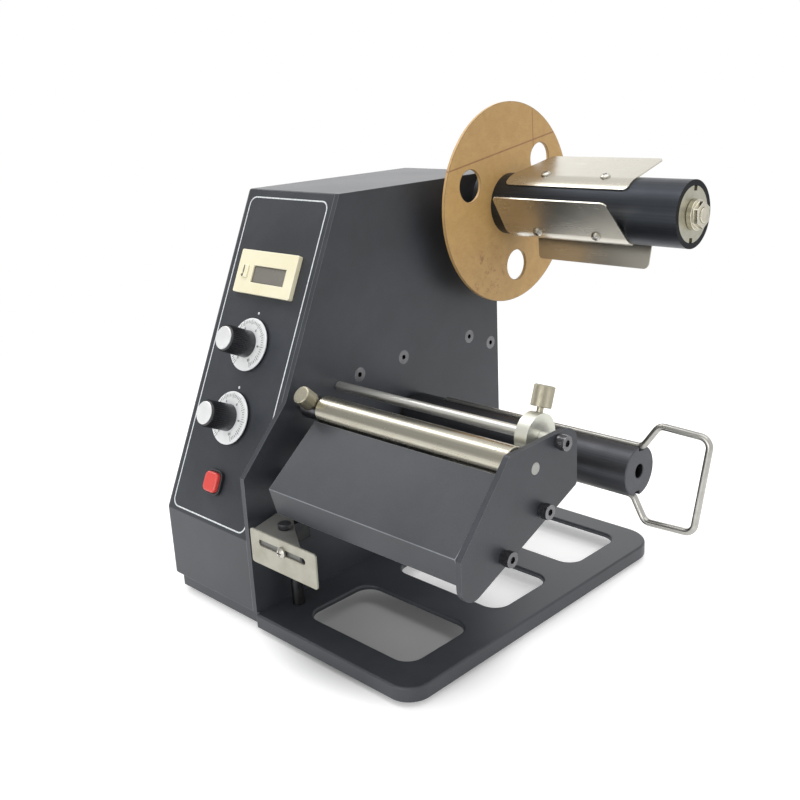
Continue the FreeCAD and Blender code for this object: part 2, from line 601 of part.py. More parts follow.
def make_counter():
    """Counter module: a lip proud of the panel, a body behind it, a window and a reset key recess."""
    body = new_body("counter_body")
    front = sketch(body, "XY_Plane")
    rectangle(front, "-counter_width / 2", "-counter_tall / 2", "counter_width / 2", "counter_tall / 2")
    lip = pad(body, front, "counter_lip")
    sides = edges_that(lip, lambda box: box.ZLength > 1)
    fillet(body, lip, sides, "counter_window_depth")
    behind = sketch(body, "XY_Plane", "-counter_body_depth")
    rectangle(behind, "-counter_body_width / 2", "-counter_body_tall / 2",
              "counter_body_width / 2", "counter_body_tall / 2")
    pad(body, behind, "counter_body_depth")
    recess = sketch(body, "XY_Plane", "counter_lip")
    half_wide, half_tall = "counter_window_width / 2", "counter_window_tall / 2"
    opening = (f"counter_window_shift - {half_wide}", f"-{half_tall} - counter_window_up",
               f"counter_window_shift + {half_wide}", f"{half_tall} - counter_window_up")
    rectangle(recess, *opening)
    pocket(body, recess, "2 * counter_window_depth")
    key = sketch(body, "XY_Plane", "counter_lip")
    rectangle(key, "-reset_shift - reset_width / 2 - slide_fit", "-reset_tall / 2 - slide_fit",
              "-reset_shift + reset_width / 2 + slide_fit", "reset_tall / 2 + slide_fit")
    pocket(body, key, "counter_lip + reset_travel")
    put_on_panel(body, "panel_middle", "counter_up")

    window = new_body("counter_window")
    drawing = sketch(window, "XY_Plane", "counter_lip - 2 * counter_window_depth")
    rectangle(drawing, *opening)
    pad(window, drawing, "counter_window_depth")
    put_on_panel(window, "panel_middle", "counter_up")

    button = new_body("reset_button")
    drawing = sketch(button, "XY_Plane")
    rectangle(drawing, "-reset_shift - reset_width / 2", "-reset_tall / 2",
              "-reset_shift + reset_width / 2", "reset_tall / 2")
    pad(button, drawing, "counter_lip + reset_travel")
    put_on_panel(button, "panel_middle", "counter_up")


def make_dial(name, up):
    """One adjusting dial: spindle of the potentiometer, graduated skirt and knob on it."""
    shaft = turned(f"{name}_shaft", tube_section("pot_shaft / 2", "0", "-sheet_wall - pot_depth",
                                                 "dial_gap + knob_bore_depth"))
    put_on_panel(shaft, "panel_middle", up)
    top = "dial_gap + dial_thickness"
    skirt = turned(f"{name}_dial", [
        ("pot_shaft / 2", "dial_gap"), ("dial_diameter / 2", "dial_gap"),
        ("dial_diameter / 2", "dial_gap + dial_thickness / 2"), ("knob_diameter / 2", top),
        ("pot_shaft / 2", top),
    ])
    put_on_panel(skirt, "panel_middle", up)
    knob = turned(f"{name}_knob", [
        ("pot_shaft / 2", top), ("knob_diameter / 2", top),
        ("knob_top_diameter / 2", "knob_height - knob_edge"),
        ("knob_top_diameter / 2 - knob_edge", "knob_height"), ("0", "knob_height"),
        ("0", "dial_gap + knob_bore_depth"), ("pot_shaft / 2", "dial_gap + knob_bore_depth"),
    ])
    put_on_panel(knob, "panel_middle", up)


def make_potentiometers():
    """Potentiometer cans behind the panel, their bushes through it and a flat nut in front."""
    bore = "pot_shaft / 2 + running_fit"
    can = master("potentiometer_pattern", [
        (bore, "-sheet_wall - pot_depth"), ("pot_diameter / 2", "-sheet_wall - pot_depth"),
        ("pot_diameter / 2", "-sheet_wall"), ("pot_bush / 2", "-sheet_wall"), ("pot_bush / 2", "0"),
        ("pot_nut_flats / 2", "0"), ("pot_nut_flats / 2", "pot_nut_height"), (bore, "pot_nut_height"),
    ])
    tilt = Rotation(X_AXIS, 90 - val("panel_tilt"))
    places = [("panel_middle", f"{up} * sin(panel_tilt)", f"sill_height + {up} * cos(panel_tilt)", tilt)
              for up in ("length_up", "speed_up")]
    group("potentiometers", (can, places))


def make_lamp():
    """Square indicator: dark bezel with its barrel through the panel, and a red lens."""
    half = "lamp_size / 2"
    bezel = new_body("lamp_bezel")
    drawing = sketch(bezel, "XY_Plane")
    rectangle(drawing, f"-{half}", f"-{half}", half, half)
    plate = pad(bezel, drawing, "lamp_lip")
    fillet(bezel, plate, edges_that(plate, lambda box: box.ZLength > 1), "lamp_corner")
    barrel = sketch(bezel, "XY_Plane", "-lamp_depth")
    circle(barrel, "0", "0", "lamp_barrel / 2")
    pad(bezel, barrel, "lamp_depth")
    seat = sketch(bezel, "XY_Plane", "lamp_lip")
    inner = "lamp_lens_size / 2"
    rectangle(seat, f"-{inner}", f"-{inner}", inner, inner)
    recess = pocket(bezel, seat, "lamp_lip / 2")
    corners = edges_that(recess, lambda box: box.ZLength > 0.5 and box.XLength < 1e-6 and box.YLength < 1e-6
                         and near(abs(box.XMin), inner) and near(abs(box.YMin), inner))
    fillet(bezel, recess, corners, "lamp_lens_corner")
    put_on_panel(bezel, "panel_middle", "lamp_up")
    lens = new_body("lamp_lens")
    drawing = sketch(lens, "XY_Plane", "lamp_lip / 2")
    rectangle(drawing, f"-{inner}", f"-{inner}", inner, inner)
    block = pad(lens, drawing, "lamp_lip / 2 + lamp_lens_proud")
    block = fillet(lens, block, edges_that(block, lambda box: box.ZLength > 1), "lamp_lens_corner")
    top = edges_that(block, lambda box: near(box.ZMin, "lamp_lip + lamp_lens_proud"))
    fillet(lens, block, top, "lamp_lens_proud / 2")
    put_on_panel(lens, "panel_middle", "lamp_up")


# ---------------------------------------------------------------- rear inlet and rocker switch

def make_power_inlet():
    """Mains inlet in the back wall: flange outside, body inside, open socket with three blades."""
    body = new_body("power_inlet")
    flange = sketch(body, "XZ_Plane", "-cabinet_depth - inlet_flange")
    rectangle(flange, "panel_middle - inlet_flange_width / 2", "inlet_z - inlet_flange_tall / 2",
              "panel_middle + inlet_flange_width / 2", "inlet_z + inlet_flange_tall / 2")
    pad(body, flange, "inlet_flange")
    inside = sketch(body, "XZ_Plane", "-cabinet_depth")
    rectangle(inside, "panel_middle - inlet_width / 2", "inlet_z - inlet_tall / 2",
              "panel_middle + inlet_width / 2", "inlet_z + inlet_tall / 2")
    pad(body, inside, "inlet_depth")
    socket = sketch(body, "XZ_Plane", "-cabinet_depth - inlet_flange")
    rectangle(socket, "panel_middle - inlet_width / 2 + inlet_wall", "inlet_z - inlet_tall / 2 + inlet_wall",
              "panel_middle + inlet_width / 2 - inlet_wall", "inlet_z + inlet_tall / 2 - inlet_wall")
    pocket(body, socket, "inlet_recess", back=True)
    for shift, rise in (("-blade_side", "-blade_side_drop"), ("0", "blade_middle_rise"),
                        ("blade_side", "-blade_side_drop")):
        blade = sketch(body, "XZ_Plane", "inlet_recess - cabinet_depth - inlet_flange - blade_length")
        rectangle(blade, f"panel_middle + {shift} - blade_width / 2", f"inlet_z + {rise} - blade_tall / 2",
                  f"panel_middle + {shift} + blade_width / 2", f"inlet_z + {rise} + blade_tall / 2")
        pad(body, blade, "blade_length")
    put(body)


def make_rocker_switch():
    """Rocker switch in the back wall: housing frame and the rocker pivoting inside it."""
    housing = new_body("switch_housing")
    lip = sketch(housing, "XZ_Plane", "-cabinet_depth - switch_lip")
    rectangle(lip, "panel_middle - switch_width / 2 - switch_lip", "switch_z - switch_tall / 2 - switch_lip",
              "panel_middle + switch_width / 2 + switch_lip", "switch_z + switch_tall / 2 + switch_lip")
    pad(housing, lip, "switch_lip")
    inside = sketch(housing, "XZ_Plane", "-cabinet_depth")
    rectangle(inside, "panel_middle - switch_width / 2", "switch_z - switch_tall / 2",
              "panel_middle + switch_width / 2", "switch_z + switch_tall / 2")
    pad(housing, inside, "switch_depth")
    well = sketch(housing, "XZ_Plane", "-cabinet_depth - switch_lip")
    half_wide, half_tall = "(switch_width / 2 - switch_wall)", "(switch_tall / 2 - switch_wall)"
    rectangle(well, f"panel_middle - {half_wide}", f"switch_z - {half_tall}",
              f"panel_middle + {half_wide}", f"switch_z + {half_tall}")
    pocket(housing, well, "switch_lip + switch_depth - switch_wall", back=True)
    pin = sketch(housing, "YZ_Plane", "panel_middle - switch_width / 2 + switch_wall")
    circle(pin, "cabinet_depth", "switch_z", "rocker_pin / 2")
    pad(housing, pin, "switch_width - 2 * switch_wall")
    put(housing)
    rocker = new_body("rocker")
    side = sketch(rocker, "YZ_Plane", "-switch_width / 2 + switch_wall + rocker_gap")
    half = "(switch_tall / 2 - switch_wall - rocker_end_gap)"
    polygon(side, [
        ("-rocker_back", "-rocker_back_half"), ("-rocker_back", "rocker_back_half"), ("0", half),
        ("rocker_crest", half), ("rocker_dip", "0"), ("rocker_crest", f"-{half}"), ("0", f"-{half}"),
    ])
    circle(side, "0", "0", "rocker_pin / 2 + running_fit")
    pad(rocker, side, "switch_width - 2 * switch_wall - 2 * rocker_gap")
    put(rocker, "panel_middle", "cabinet_depth", "switch_z", X_AXIS, "rocker_angle")


# ---------------------------------------------------------------- electronics

def make_electronics():
    """Control board on feet pressed into the tray, and a mains transformer behind it."""
    board = new_body("control_board")
    level = "tray_wall + board_standoff"
    left = "panel_middle - board_width / 2"
    plate = sketch(board, "XY_Plane", level)
    rectangle(plate, left, "board_front", f"{left} + board_width", "board_front + board_length")
    pad(board, plate, "board_thickness")
    legs = sketch(board, "XY_Plane", "tray_wall")
    for x in (f"{left} + board_leg_inset", f"{left} + board_width - board_leg_inset"):
        for y in ("board_front + board_leg_inset", "board_front + board_length - board_leg_inset"):
            circle(legs, x, y, "board_leg_diameter / 2")
    pad(board, legs, "board_standoff")
    blocks = sketch(board, "XY_Plane", f"{level} + board_thickness")
    for name in ("relay", "terminal", "chip"):
        corner = (f"{left} + {name}_left", f"board_front + {name}_front")
        rectangle(blocks, *corner, f"{corner[0]} + {name}_width", f"{corner[1]} + {name}_depth")
    circle(blocks, f"{left} + capacitor_left", "board_front + capacitor_front", "capacitor_diameter / 2")
    pad(board, blocks, "board_height")
    put(board)
    core = doc.addObject("Part::Box", "transformer_core")
    core.setExpression("Length", ex("transformer_width"))
    core.setExpression("Width", ex("transformer_depth"))
    core.setExpression("Height", ex("transformer_tall"))
    put(core, "panel_middle - transformer_width / 2", "transformer_y - transformer_depth / 2", "tray_wall")
    sub_parts.append(core)


# ---------------------------------------------------------------- side plate and rods

def make_side_plate():
    """Plate at the roller side with the same nose as the main plate, held by rods only."""
    body = new_body("right_side_plate")
    drawing = sketch(body, "YZ_Plane", "bridge_inner")
    polygon(drawing, [
        ("side_plate_front", "side_plate_low"), ("side_plate_front", "side_plate_nose"),
        ("side_plate_top_front", "side_plate_top"),
        ("side_plate_rear", "side_plate_top + side_plate_top_rise"),
        ("side_plate_rear", "side_plate_rear_low"),
    ])
    plate = pad(body, drawing, "side_plate_thickness")
    across = lambda box: box.XLength > 1 and box.YLength < 1e-6
    low, high = "side_plate_low", "side_plate_top + side_plate_top_rise"
    big = edges_that(plate, lambda box: across(box) and (near(box.ZMin, low) or near(box.ZMin, high)))
    plate = fillet(body, plate, big, "side_plate_round")
    small = edges_that(plate, lambda box: across(box) and (
        near(box.ZMin, "side_plate_nose") or near(box.ZMin, "side_plate_top")
        or (near(box.ZMin, "side_plate_rear_low") and near(box.YMin, "side_plate_rear"))))
    fillet(body, plate, small, "side_plate_small_round")
    holes = sketch(body, "YZ_Plane", "bridge_inner")
    for y, z in CAPPED_RODS:
        circle(holes, y, z, "cap_screw / 2 + screw_clearance")
    circle(holes, "liner_rod_y", "liner_rod_z", "liner_rod_diameter / 2")
    pocket(body, holes, "4 * side_plate_thickness", midplane=True)
    seat = sketch(body, "YZ_Plane", "bridge_inner")
    circle(seat, "roller_y", "roller_z", "roller_axle_diameter / 2")
    pocket(body, seat, "axle_seat", back=True)
    put(body)


def tapped_rod(radius):
    """Half section of a rod between the plates, drilled at both ends for its cap screws."""
    return [
        ("0", "cap_screw_grip"), ("cap_screw / 2", "cap_screw_grip"), ("cap_screw / 2", "0"), (radius, "0"),
        (radius, "bridge_inner"), ("cap_screw / 2", "bridge_inner"),
        ("cap_screw / 2", "bridge_inner - cap_screw_grip"), ("0", "bridge_inner - cap_screw_grip"),
    ]


def make_rods():
    """Two tie rods, the polished guide rod and the liner rod pinned through both plates."""
    tie = master("tie_rod_pattern", tapped_rod("tie_rod_diameter / 2"))
    group("tie_rods", (tie, [("0", y, z, TO_X) for y, z in CAPPED_RODS[:2]]))
    turned_x("guide_rod", tapped_rod("guide_rod_diameter / 2"), "guide_rod_y", "guide_rod_z")
    turned_x("liner_rod", tube_section("liner_rod_diameter / 2", "0", "-main_plate_thickness",
                                       "bridge_outer"), "liner_rod_y", "liner_rod_z")


def hexagon(flats):
    """Corners of a hexagon from its width over flats."""
    return [(f"{flats} / sqrt(3) * cos({60 * step})", f"{flats} / sqrt(3) * sin({60 * step})")
            for step in range(6)]


def make_cap_screws():
    """Socket cap screws with spring washers, three outside the side plate and three inside the cabinet."""
    body = new_body("cap_screw_pattern")
    sub_parts.remove(body)
    drawing = sketch(body, "XZ_Plane")
    grip = "side_plate_thickness + washer_thickness + cap_screw_grip"
    polygon(drawing, [
        ("0", "-cap_head_height"), ("cap_head / 2", "-cap_head_height"), ("cap_head / 2", "0"),
        ("cap_screw / 2", "0"), ("cap_screw / 2", grip), ("0", grip),
    ])
    spin(body, drawing)
    socket = sketch(body, "XY_Plane", "-cap_head_height")
    polygon(socket, hexagon("cap_socket"))
    pocket(body, socket, "cap_socket_depth", back=True)
    outside = [("bridge_outer + washer_thickness", y, z, TO_MINUS_X) for y, z in CAPPED_RODS]
    inside = [("-main_plate_thickness - washer_thickness", y, z, TO_X) for y, z in CAPPED_RODS]
    ring = master("spring_washer_pattern",
                  tube_section("washer_diameter / 2", "cap_screw / 2 + screw_clearance",
                               "0", "washer_thickness"))
    seats = [("bridge_outer", y, z, TO_X) for y, z in CAPPED_RODS]
    seats += [("-main_plate_thickness", y, z, TO_MINUS_X) for y, z in CAPPED_RODS]
    group("cap_screws", (body, outside + inside), (ring, seats))


# ---------------------------------------------------------------- peel plate

def mitre(point, before, after, thickness):
    """Corner of the inner outline of a bent sheet, from its outer corner and the two run angles."""
    y, z = point
    middle = f"((({before}) + ({after})) / 2 - 90)"
    reach = f"({thickness}) / cos((({after}) - ({before})) / 2)"
    return (f"({y}) + {reach} * cos{middle}", f"({z}) + {reach} * sin{middle}")


def make_peel_plate():
    """Sheet bent sharp over the peel edge, with a short lip under the guide roller."""
    body = new_body("peel_plate")
    up = "180 + peel_flange_angle"
    edge = ("peel_edge_y", "peel_edge_z")
    low = ("peel_edge_y + peel_flange_length * cos(peel_flange_angle)",
           "peel_edge_z + peel_flange_length * sin(peel_flange_angle)")
    top = ("peel_edge_y + peel_top_length * cos(peel_top_angle)",
           "peel_edge_z + peel_top_length * sin(peel_top_angle)")
    tip = (f"{top[0]} + peel_lip_length * cos(peel_lip_angle)",
           f"{top[1]} + peel_lip_length * sin(peel_lip_angle)")
    drawing = sketch(body, "YZ_Plane", "peel_left")
    polygon(drawing, [
        low, edge, top, tip,
        mitre(tip, "peel_lip_angle", "peel_lip_angle", "peel_thickness"),
        mitre(top, "peel_top_angle", "peel_lip_angle", "peel_thickness"),
        mitre(edge, up, "peel_top_angle", "peel_thickness"),
        mitre(low, up, up, "peel_thickness"),
    ])
    pad(body, drawing, "bridge_inner - peel_left")
    put(body)


def make_peel_ribs():
    """Two ribs threaded on the tie rods; the peel plate is screwed down on them."""
    body = new_body("rib_pattern")
    sub_parts.remove(body)
    up = "180 + peel_flange_angle"
    low_reach = "(peel_flange_length - rib_margin)"
    low = (f"peel_edge_y + {low_reach} * cos(peel_flange_angle)",
           f"peel_edge_z + {low_reach} * sin(peel_flange_angle)")
    high_reach = "(peel_top_length - rib_margin)"
    high = (f"peel_edge_y + {high_reach} * cos(peel_top_angle)",
            f"peel_edge_z + {high_reach} * sin(peel_top_angle)")
    around = "(tie_rod_diameter / 2 + rib_margin)"
    drawing = sketch(body, "YZ_Plane", "0")
    polygon(drawing, [
        mitre(("peel_edge_y", "peel_edge_z"), up, "peel_top_angle", "peel_thickness"),
        mitre(high, "peel_top_angle", "peel_top_angle", "peel_thickness"),
        ("tie_rear_y + rib_margin", f"tie_rear_z + {around}"), (f"tie_rear_y + {around}", "tie_rear_z"),
        ("tie_rear_y", f"tie_rear_z - {around}"), ("tie_front_y", f"tie_front_z - {around}"),
        mitre(low, up, up, "peel_thickness"),
    ])
    pad(body, drawing, "rib_thickness")
    holes = sketch(body, "YZ_Plane")
    for y, z in CAPPED_RODS[:2]:
        circle(holes, y, z, "tie_rod_diameter / 2")
    pocket(body, holes, "4 * rib_thickness", midplane=True)
    seats = ("peel_left + rib_inset", "bridge_inner - rib_inset - rib_thickness")
    group("peel_ribs", (body, [(x, "0", "0", NO_TURN) for x in seats]))


# ---------------------------------------------------------------- guide roller and collar

def make_guide_roller():
    """Bright tube with an end plug at each side, running on a fixed axle between the plates."""
    bore = "roller_axle_diameter / 2 + running_fit"
    skin = "roller_diameter / 2 - roller_wall"
    right = "bridge_inner - 2 * slide_fit"
    turned_x("guide_roller", [
        (bore, "roller_left"), ("roller_diameter / 2", "roller_left"),
        ("roller_diameter / 2", right), (bore, right),
        (bore, f"{right} - roller_end_plug"), (skin, f"{right} - roller_end_plug"),
        (skin, "roller_left + roller_end_plug"), (bore, "roller_left + roller_end_plug"),
    ], "roller_y", "roller_z")
    turned_x("roller_axle", tube_section("roller_axle_diameter / 2", "0", "-main_plate_thickness",
                                         "bridge_inner + axle_seat"), "roller_y", "roller_z")


def thumbscrew(label, tip, neck_end, head_radius, head_end):
    """Knurled head on a thin threaded neck; heights are measured out from the clamped rod's axis."""
    return turned(label, [
        ("0", tip), ("thumb_thread / 2", tip), ("thumb_thread / 2", neck_end), (head_radius, neck_end),
        (head_radius, f"{head_end} - thumb_edge"), (f"{head_radius} - thumb_edge", head_end), ("0", head_end),
    ])


def drill_ring(body, radius_out, middle):
    """Radial hole of a clamped ring, along the ring's local -X, for its thumbscrew."""
    hole = sketch(body, "YZ_Plane", "0")
    circle(hole, "0", middle, "thumb_thread / 2 + running_fit")
    pocket(body, hole, radius_out)


def make_collar():
    """Black collar clamped on the roller's axle at the main plate, with its thumbscrew."""
    body = turned("left_collar", tube_section("collar_diameter / 2", "roller_axle_diameter / 2",
                                              "collar_left", "collar_left + collar_length"))
    drill_ring(body, "collar_diameter", "collar_screw_x")
    turn_ring(body, "0", "roller_y", "roller_z", "collar_screw_angle")
    screw = thumbscrew("collar_thumbscrew", "roller_axle_diameter / 2 + thumb_tip_gap",
                       "collar_diameter / 2 + slide_fit", "collar_screw_head / 2", "collar_screw_reach")
    put(screw, "collar_screw_x", "roller_y", "roller_z", X_AXIS, "collar_screw_angle")


def turn_ring(body, x, y, z, angle):
    """Lay a ring's axis along X and bring its drilled side to the given angle from upright."""
    lie = Placement(Vector(), Rotation(X_AXIS, val(angle)).multiply(TO_X))
    body.Placement = lie
    put(body, x, y, z)


def make_guide_ring():
    """Label guide ring that slides on the guide rod and is locked by its thumbscrew."""
    body = turned("guide_ring", tube_section("ring_diameter / 2", "guide_rod_diameter / 2 + slide_fit",
                                             "-ring_width / 2", "ring_width / 2"))
    drill_ring(body, "ring_diameter", "0")
    middle = "ring_right - ring_width / 2"
    turn_ring(body, middle, "guide_rod_y", "guide_rod_z", "ring_screw_angle")
    neck_end = "ring_diameter / 2 + ring_screw_neck"
    screw = thumbscrew("ring_thumbscrew", "guide_rod_diameter / 2 + slide_fit + thumb_tip_gap", neck_end,
                       "ring_screw_head / 2", f"{neck_end} + ring_screw_head_length")
    put(screw, middle, "guide_rod_y", "guide_rod_z", X_AXIS, "ring_screw_angle")


# ---------------------------------------------------------------- take-up roller, drive and wire clip

def make_take_up():
    """Black take-up roller with two wire grooves, on the output shaft of the drive."""
    body = turned("take_up_roller", [
        ("shaft_diameter / 2", "take_up_left"), ("take_up_diameter / 2", "take_up_left"),
        ("take_up_diameter / 2", "take_up_right"), ("take_up_bore / 2", "take_up_right"),
        ("take_up_bore / 2", "take_up_right - take_up_bore_depth"),
        ("0", "take_up_right - take_up_bore_depth"),
        ("0", "take_up_left + shaft_socket"), ("shaft_diameter / 2", "take_up_left + shaft_socket"),
    ])
    grooves = sketch(body, "XY_Plane", "take_up_right")
    half = "wire_diameter / 2 + wire_side_clearance"
    floor = "wire_orbit - wire_diameter / 2 - wire_side_clearance"
    rectangle(grooves, floor, f"-({half})", "take_up_diameter", half)
    rectangle(grooves, "-take_up_diameter", f"-({half})", f"-({floor})", half)
    pocket(body, grooves, "take_up_right - clip_left + groove_overrun")
    turn_ring(body, "0", "take_up_y", "take_up_z", "-take_up_tilt")
    turned_x("take_up_shaft", tube_section("shaft_diameter / 2", "0", "-main_plate_thickness - gearbox_width",
                                           "take_up_left + shaft_socket"), "take_up_y", "take_up_z")


def make_drive():
    """Flanged bush in the main plate, worm gearbox screwed behind it and the motor above the gearbox."""
    fit = "shaft_diameter / 2 + running_fit"
    turned_x("take_up_bush", [
        (fit, "-main_plate_thickness"), ("shaft_diameter / 2 + bush_wall", "-main_plate_thickness"),
        ("shaft_diameter / 2 + bush_wall", "0"), ("shaft_diameter / 2 + bush_wall + bush_flange_rim", "0"),
        ("shaft_diameter / 2 + bush_wall + bush_flange_rim", "bush_flange"), (fit, "bush_flange"),
    ], "take_up_y", "take_up_z")
    box = new_body("worm_gearbox")
    drawing = sketch(box, "YZ_Plane", "-main_plate_thickness - gearbox_width")
    rectangle(drawing, "-gearbox_depth / 2", "-gearbox_length / 2", "gearbox_depth / 2", "gearbox_length / 2")
    block = pad(box, drawing, "gearbox_width")
    fillet(box, block, edges_that(block, lambda edge: edge.XLength > 1), "gearbox_round")
    bore = sketch(box, "YZ_Plane", "-main_plate_thickness")
    circle(bore, "0", "0", fit)
    pocket(box, bore, "gearbox_width")
    put(box, "0", "take_up_y", "take_up_z")
    motor = turned("drive_motor", [
        ("0", "0"), ("motor_diameter / 3", "0"), ("motor_diameter / 3", "motor_neck"),
        ("motor_diameter / 2", "motor_neck"), ("motor_diameter / 2", "motor_neck + motor_length"),
        ("0", "motor_neck + motor_length"),
    ])
    put(motor, "-main_plate_thickness - gearbox_width / 2", "take_up_y", "take_up_z - gearbox_length / 2",
        FROM_BELOW)


def rounded_path(corners, radius):
    """Open wire through corner points, each inner corner replaced by a tangent arc."""
    edges = []
    start = corners[0]
    for before, corner, after in zip(corners, corners[1:], corners[2:]):
        inward = (before - corner).normalize()
        onward = (after - corner).normalize()
        half_turn = inward.getAngle(onward) / 2
        leg = radius / math.tan(half_turn)
        middle = corner + (inward + onward).normalize() * (radius / math.sin(half_turn) - radius)
        entry = corner + inward * leg
        leave = corner + onward * leg
        edges.append(Part.LineSegment(start, entry).toShape())
        edges.append(Part.Arc(entry, middle, leave).toShape())
        start = leave
    edges.append(Part.LineSegment(start, corners[-1]).toShape())
    return Part.Wire(edges)


def make_wire_clip():
    """Stainless wire bent to a handle; its two legs lie in the take-up roller's grooves."""
    orbit = val("wire_orbit")
    half = val("clip_handle_half")
    drop = val("clip_handle_drop")
    corners = [Vector(val(x), 0, z) for x, z in [
        ("clip_left", orbit), ("clip_flare_x", orbit), ("clip_shoulder_x", half),
        ("clip_top_reach", half - drop), ("clip_bottom_reach", drop - half),
        ("clip_low_shoulder_x", -half), ("clip_low_flare_x", -orbit), ("clip_left", -orbit)]]
    path = rounded_path(corners, val("clip_bend"))
    profile = Part.Wire(Part.Circle(corners[0], X_AXIS, val("wire_diameter / 2")).toShape())
    clip = feature_shape("wire_clip", path.makePipeShell([profile], True, False))
    put(clip, "0", "take_up_y", "take_up_z", X_AXIS, "-take_up_tilt")


# ---------------------------------------------------------------- supply spindle

def make_spindle_axle():
    """Fixed axle in a block behind the main plate, with a shoulder, and a washer and nut at its end."""
    left = "-main_plate_thickness - block_depth"
    turned_x("spindle_axle", [
        ("0", left), ("axle_diameter / 2", left), ("axle_diameter / 2", "0"), ("axle_shoulder / 2", "0"),
        ("axle_shoulder / 2", "axle_shoulder_length"), ("axle_diameter / 2", "axle_shoulder_length"),
        ("axle_diameter / 2", "axle_end"), ("0", "axle_end"),
    ], "spindle_y", "spindle_z")
    block = new_body("spindle_block")
    drawing = sketch(block, "YZ_Plane", left)
    rear = "cabinet_depth - sheet_wall - seam_clearance - spindle_y"
    rectangle(drawing, f"{rear} - block_width", "-block_tall / 2", rear, "block_tall / 2")
    circle(drawing, "0", "0", "axle_diameter / 2")
    pad(block, drawing, "block_depth")
    put(block, "0", "spindle_y", "spindle_z")
    nut = new_body("spindle_nut")
    washer = sketch(nut, "XY_Plane")
    bore = "axle_diameter / 2"
    circle(washer, "0", "0", "spindle_washer / 2")
    circle(washer, "0", "0", bore)
    pad(nut, washer, "spindle_washer_thickness")
    flats = sketch(nut, "XY_Plane", "spindle_washer_thickness")
    circle(flats, "0", "0", bore)
    polygon(flats, hexagon("nut_flats"))
    pad(nut, flats, "nut_height")
    put(nut, "tube_right + slide_fit", "spindle_y", "spindle_z", TO_X)


LEAF_SCREWS_X = ("leaf_screw_first", "leaf_screw_first + leaf_screw_pitch")


def turned_row(body, cut, axis, count):
    """Repeat a cut around an axis at even steps."""
    pattern = body.newObject("PartDesign::PolarPattern", "Turned")
    pattern.Originals = [cut]
    pattern.Axis = axis
    pattern.Angle = 360
    pattern.setExpression("Occurrences", ex(count))
    body.Tip = pattern
    doc.recompute()


def make_supply_roll_parts():
    """Everything that turns on the axle: hub, hardboard disc, tube, end plate and two bearings."""
    fit = "axle_diameter / 2 + running_fit"
    bearing = "bearing_diameter / 2"
    flange_left = "axle_shoulder_length + slide_fit"
    turned_x("disc_hub", [
        (bearing, flange_left), ("hub_flange_diameter / 2", flange_left),
        ("hub_flange_diameter / 2", "disc_left"), ("tube_bore / 2", "disc_left"),
        ("tube_bore / 2", "disc_right + hub_spigot_length"),
        ("axle_diameter", "disc_right + hub_spigot_length"),
        ("axle_diameter", f"{flange_left} + bearing_width"),
        (bearing, f"{flange_left} + bearing_width"),
    ], "spindle_y", "spindle_z")
    disc = turned("roll_disc", tube_section("disc_diameter / 2", "tube_bore / 2", "disc_left", "disc_right"))
    hole = sketch(disc, "XY_Plane", "disc_right")
    circle(hole, "disc_hole_circle / 2", "0", "disc_hole / 2")
    cut = pocket(disc, hole, "2 * disc_thickness")
    turned_row(disc, cut, (hole, ["N_Axis"]), "disc_hole_count")
    turn_ring(disc, "0", "spindle_y", "spindle_z", "disc_hole_angle + 90")
    tube = turned("mandrel_tube", tube_section("tube_diameter / 2", "tube_bore / 2",
                                               "disc_right", "tube_right"))
    drill = sketch(tube, "YZ_Plane")
    for x in LEAF_SCREWS_X:
        circle(drill, "0", x, "leaf_screw / 2")
    cut = pocket(tube, drill, "tube_diameter")
    turned_row(tube, cut, (drill, ["V_Axis"]), "leaf_count")
    turn_ring(tube, "0", "spindle_y", "spindle_z", "leaf_angle - 90")
    left = "tube_right - end_plate_thickness"
    cap = turned("end_plate", [
        (bearing, left), ("tube_bore / 2", left), ("tube_bore / 2", "tube_right"),
        ("end_bore / 2", "tube_right"),
        ("end_bore / 2", "tube_right - end_lip"), (bearing, "tube_right - end_lip"),
    ])
    notch = sketch(cap, "XY_Plane", "tube_right")
    for side in ("", "-"):
        rectangle(notch, f"{side}(tube_bore / 2 - end_notch_depth)", "-end_notch_width / 2",
                  f"{side}tube_diameter", "end_notch_width / 2")
    pocket(cap, notch, "end_lip")
    turn_ring(cap, "0", "spindle_y", "spindle_z", "-take_up_tilt")
    race = master("bearing_pattern", tube_section(bearing, fit, "0", "bearing_width"))
    seats = (flange_left, "tube_right - end_lip - bearing_width")
    group("spindle_bearings", (race, [(x, "spindle_y", "spindle_z", TO_X) for x in seats]))


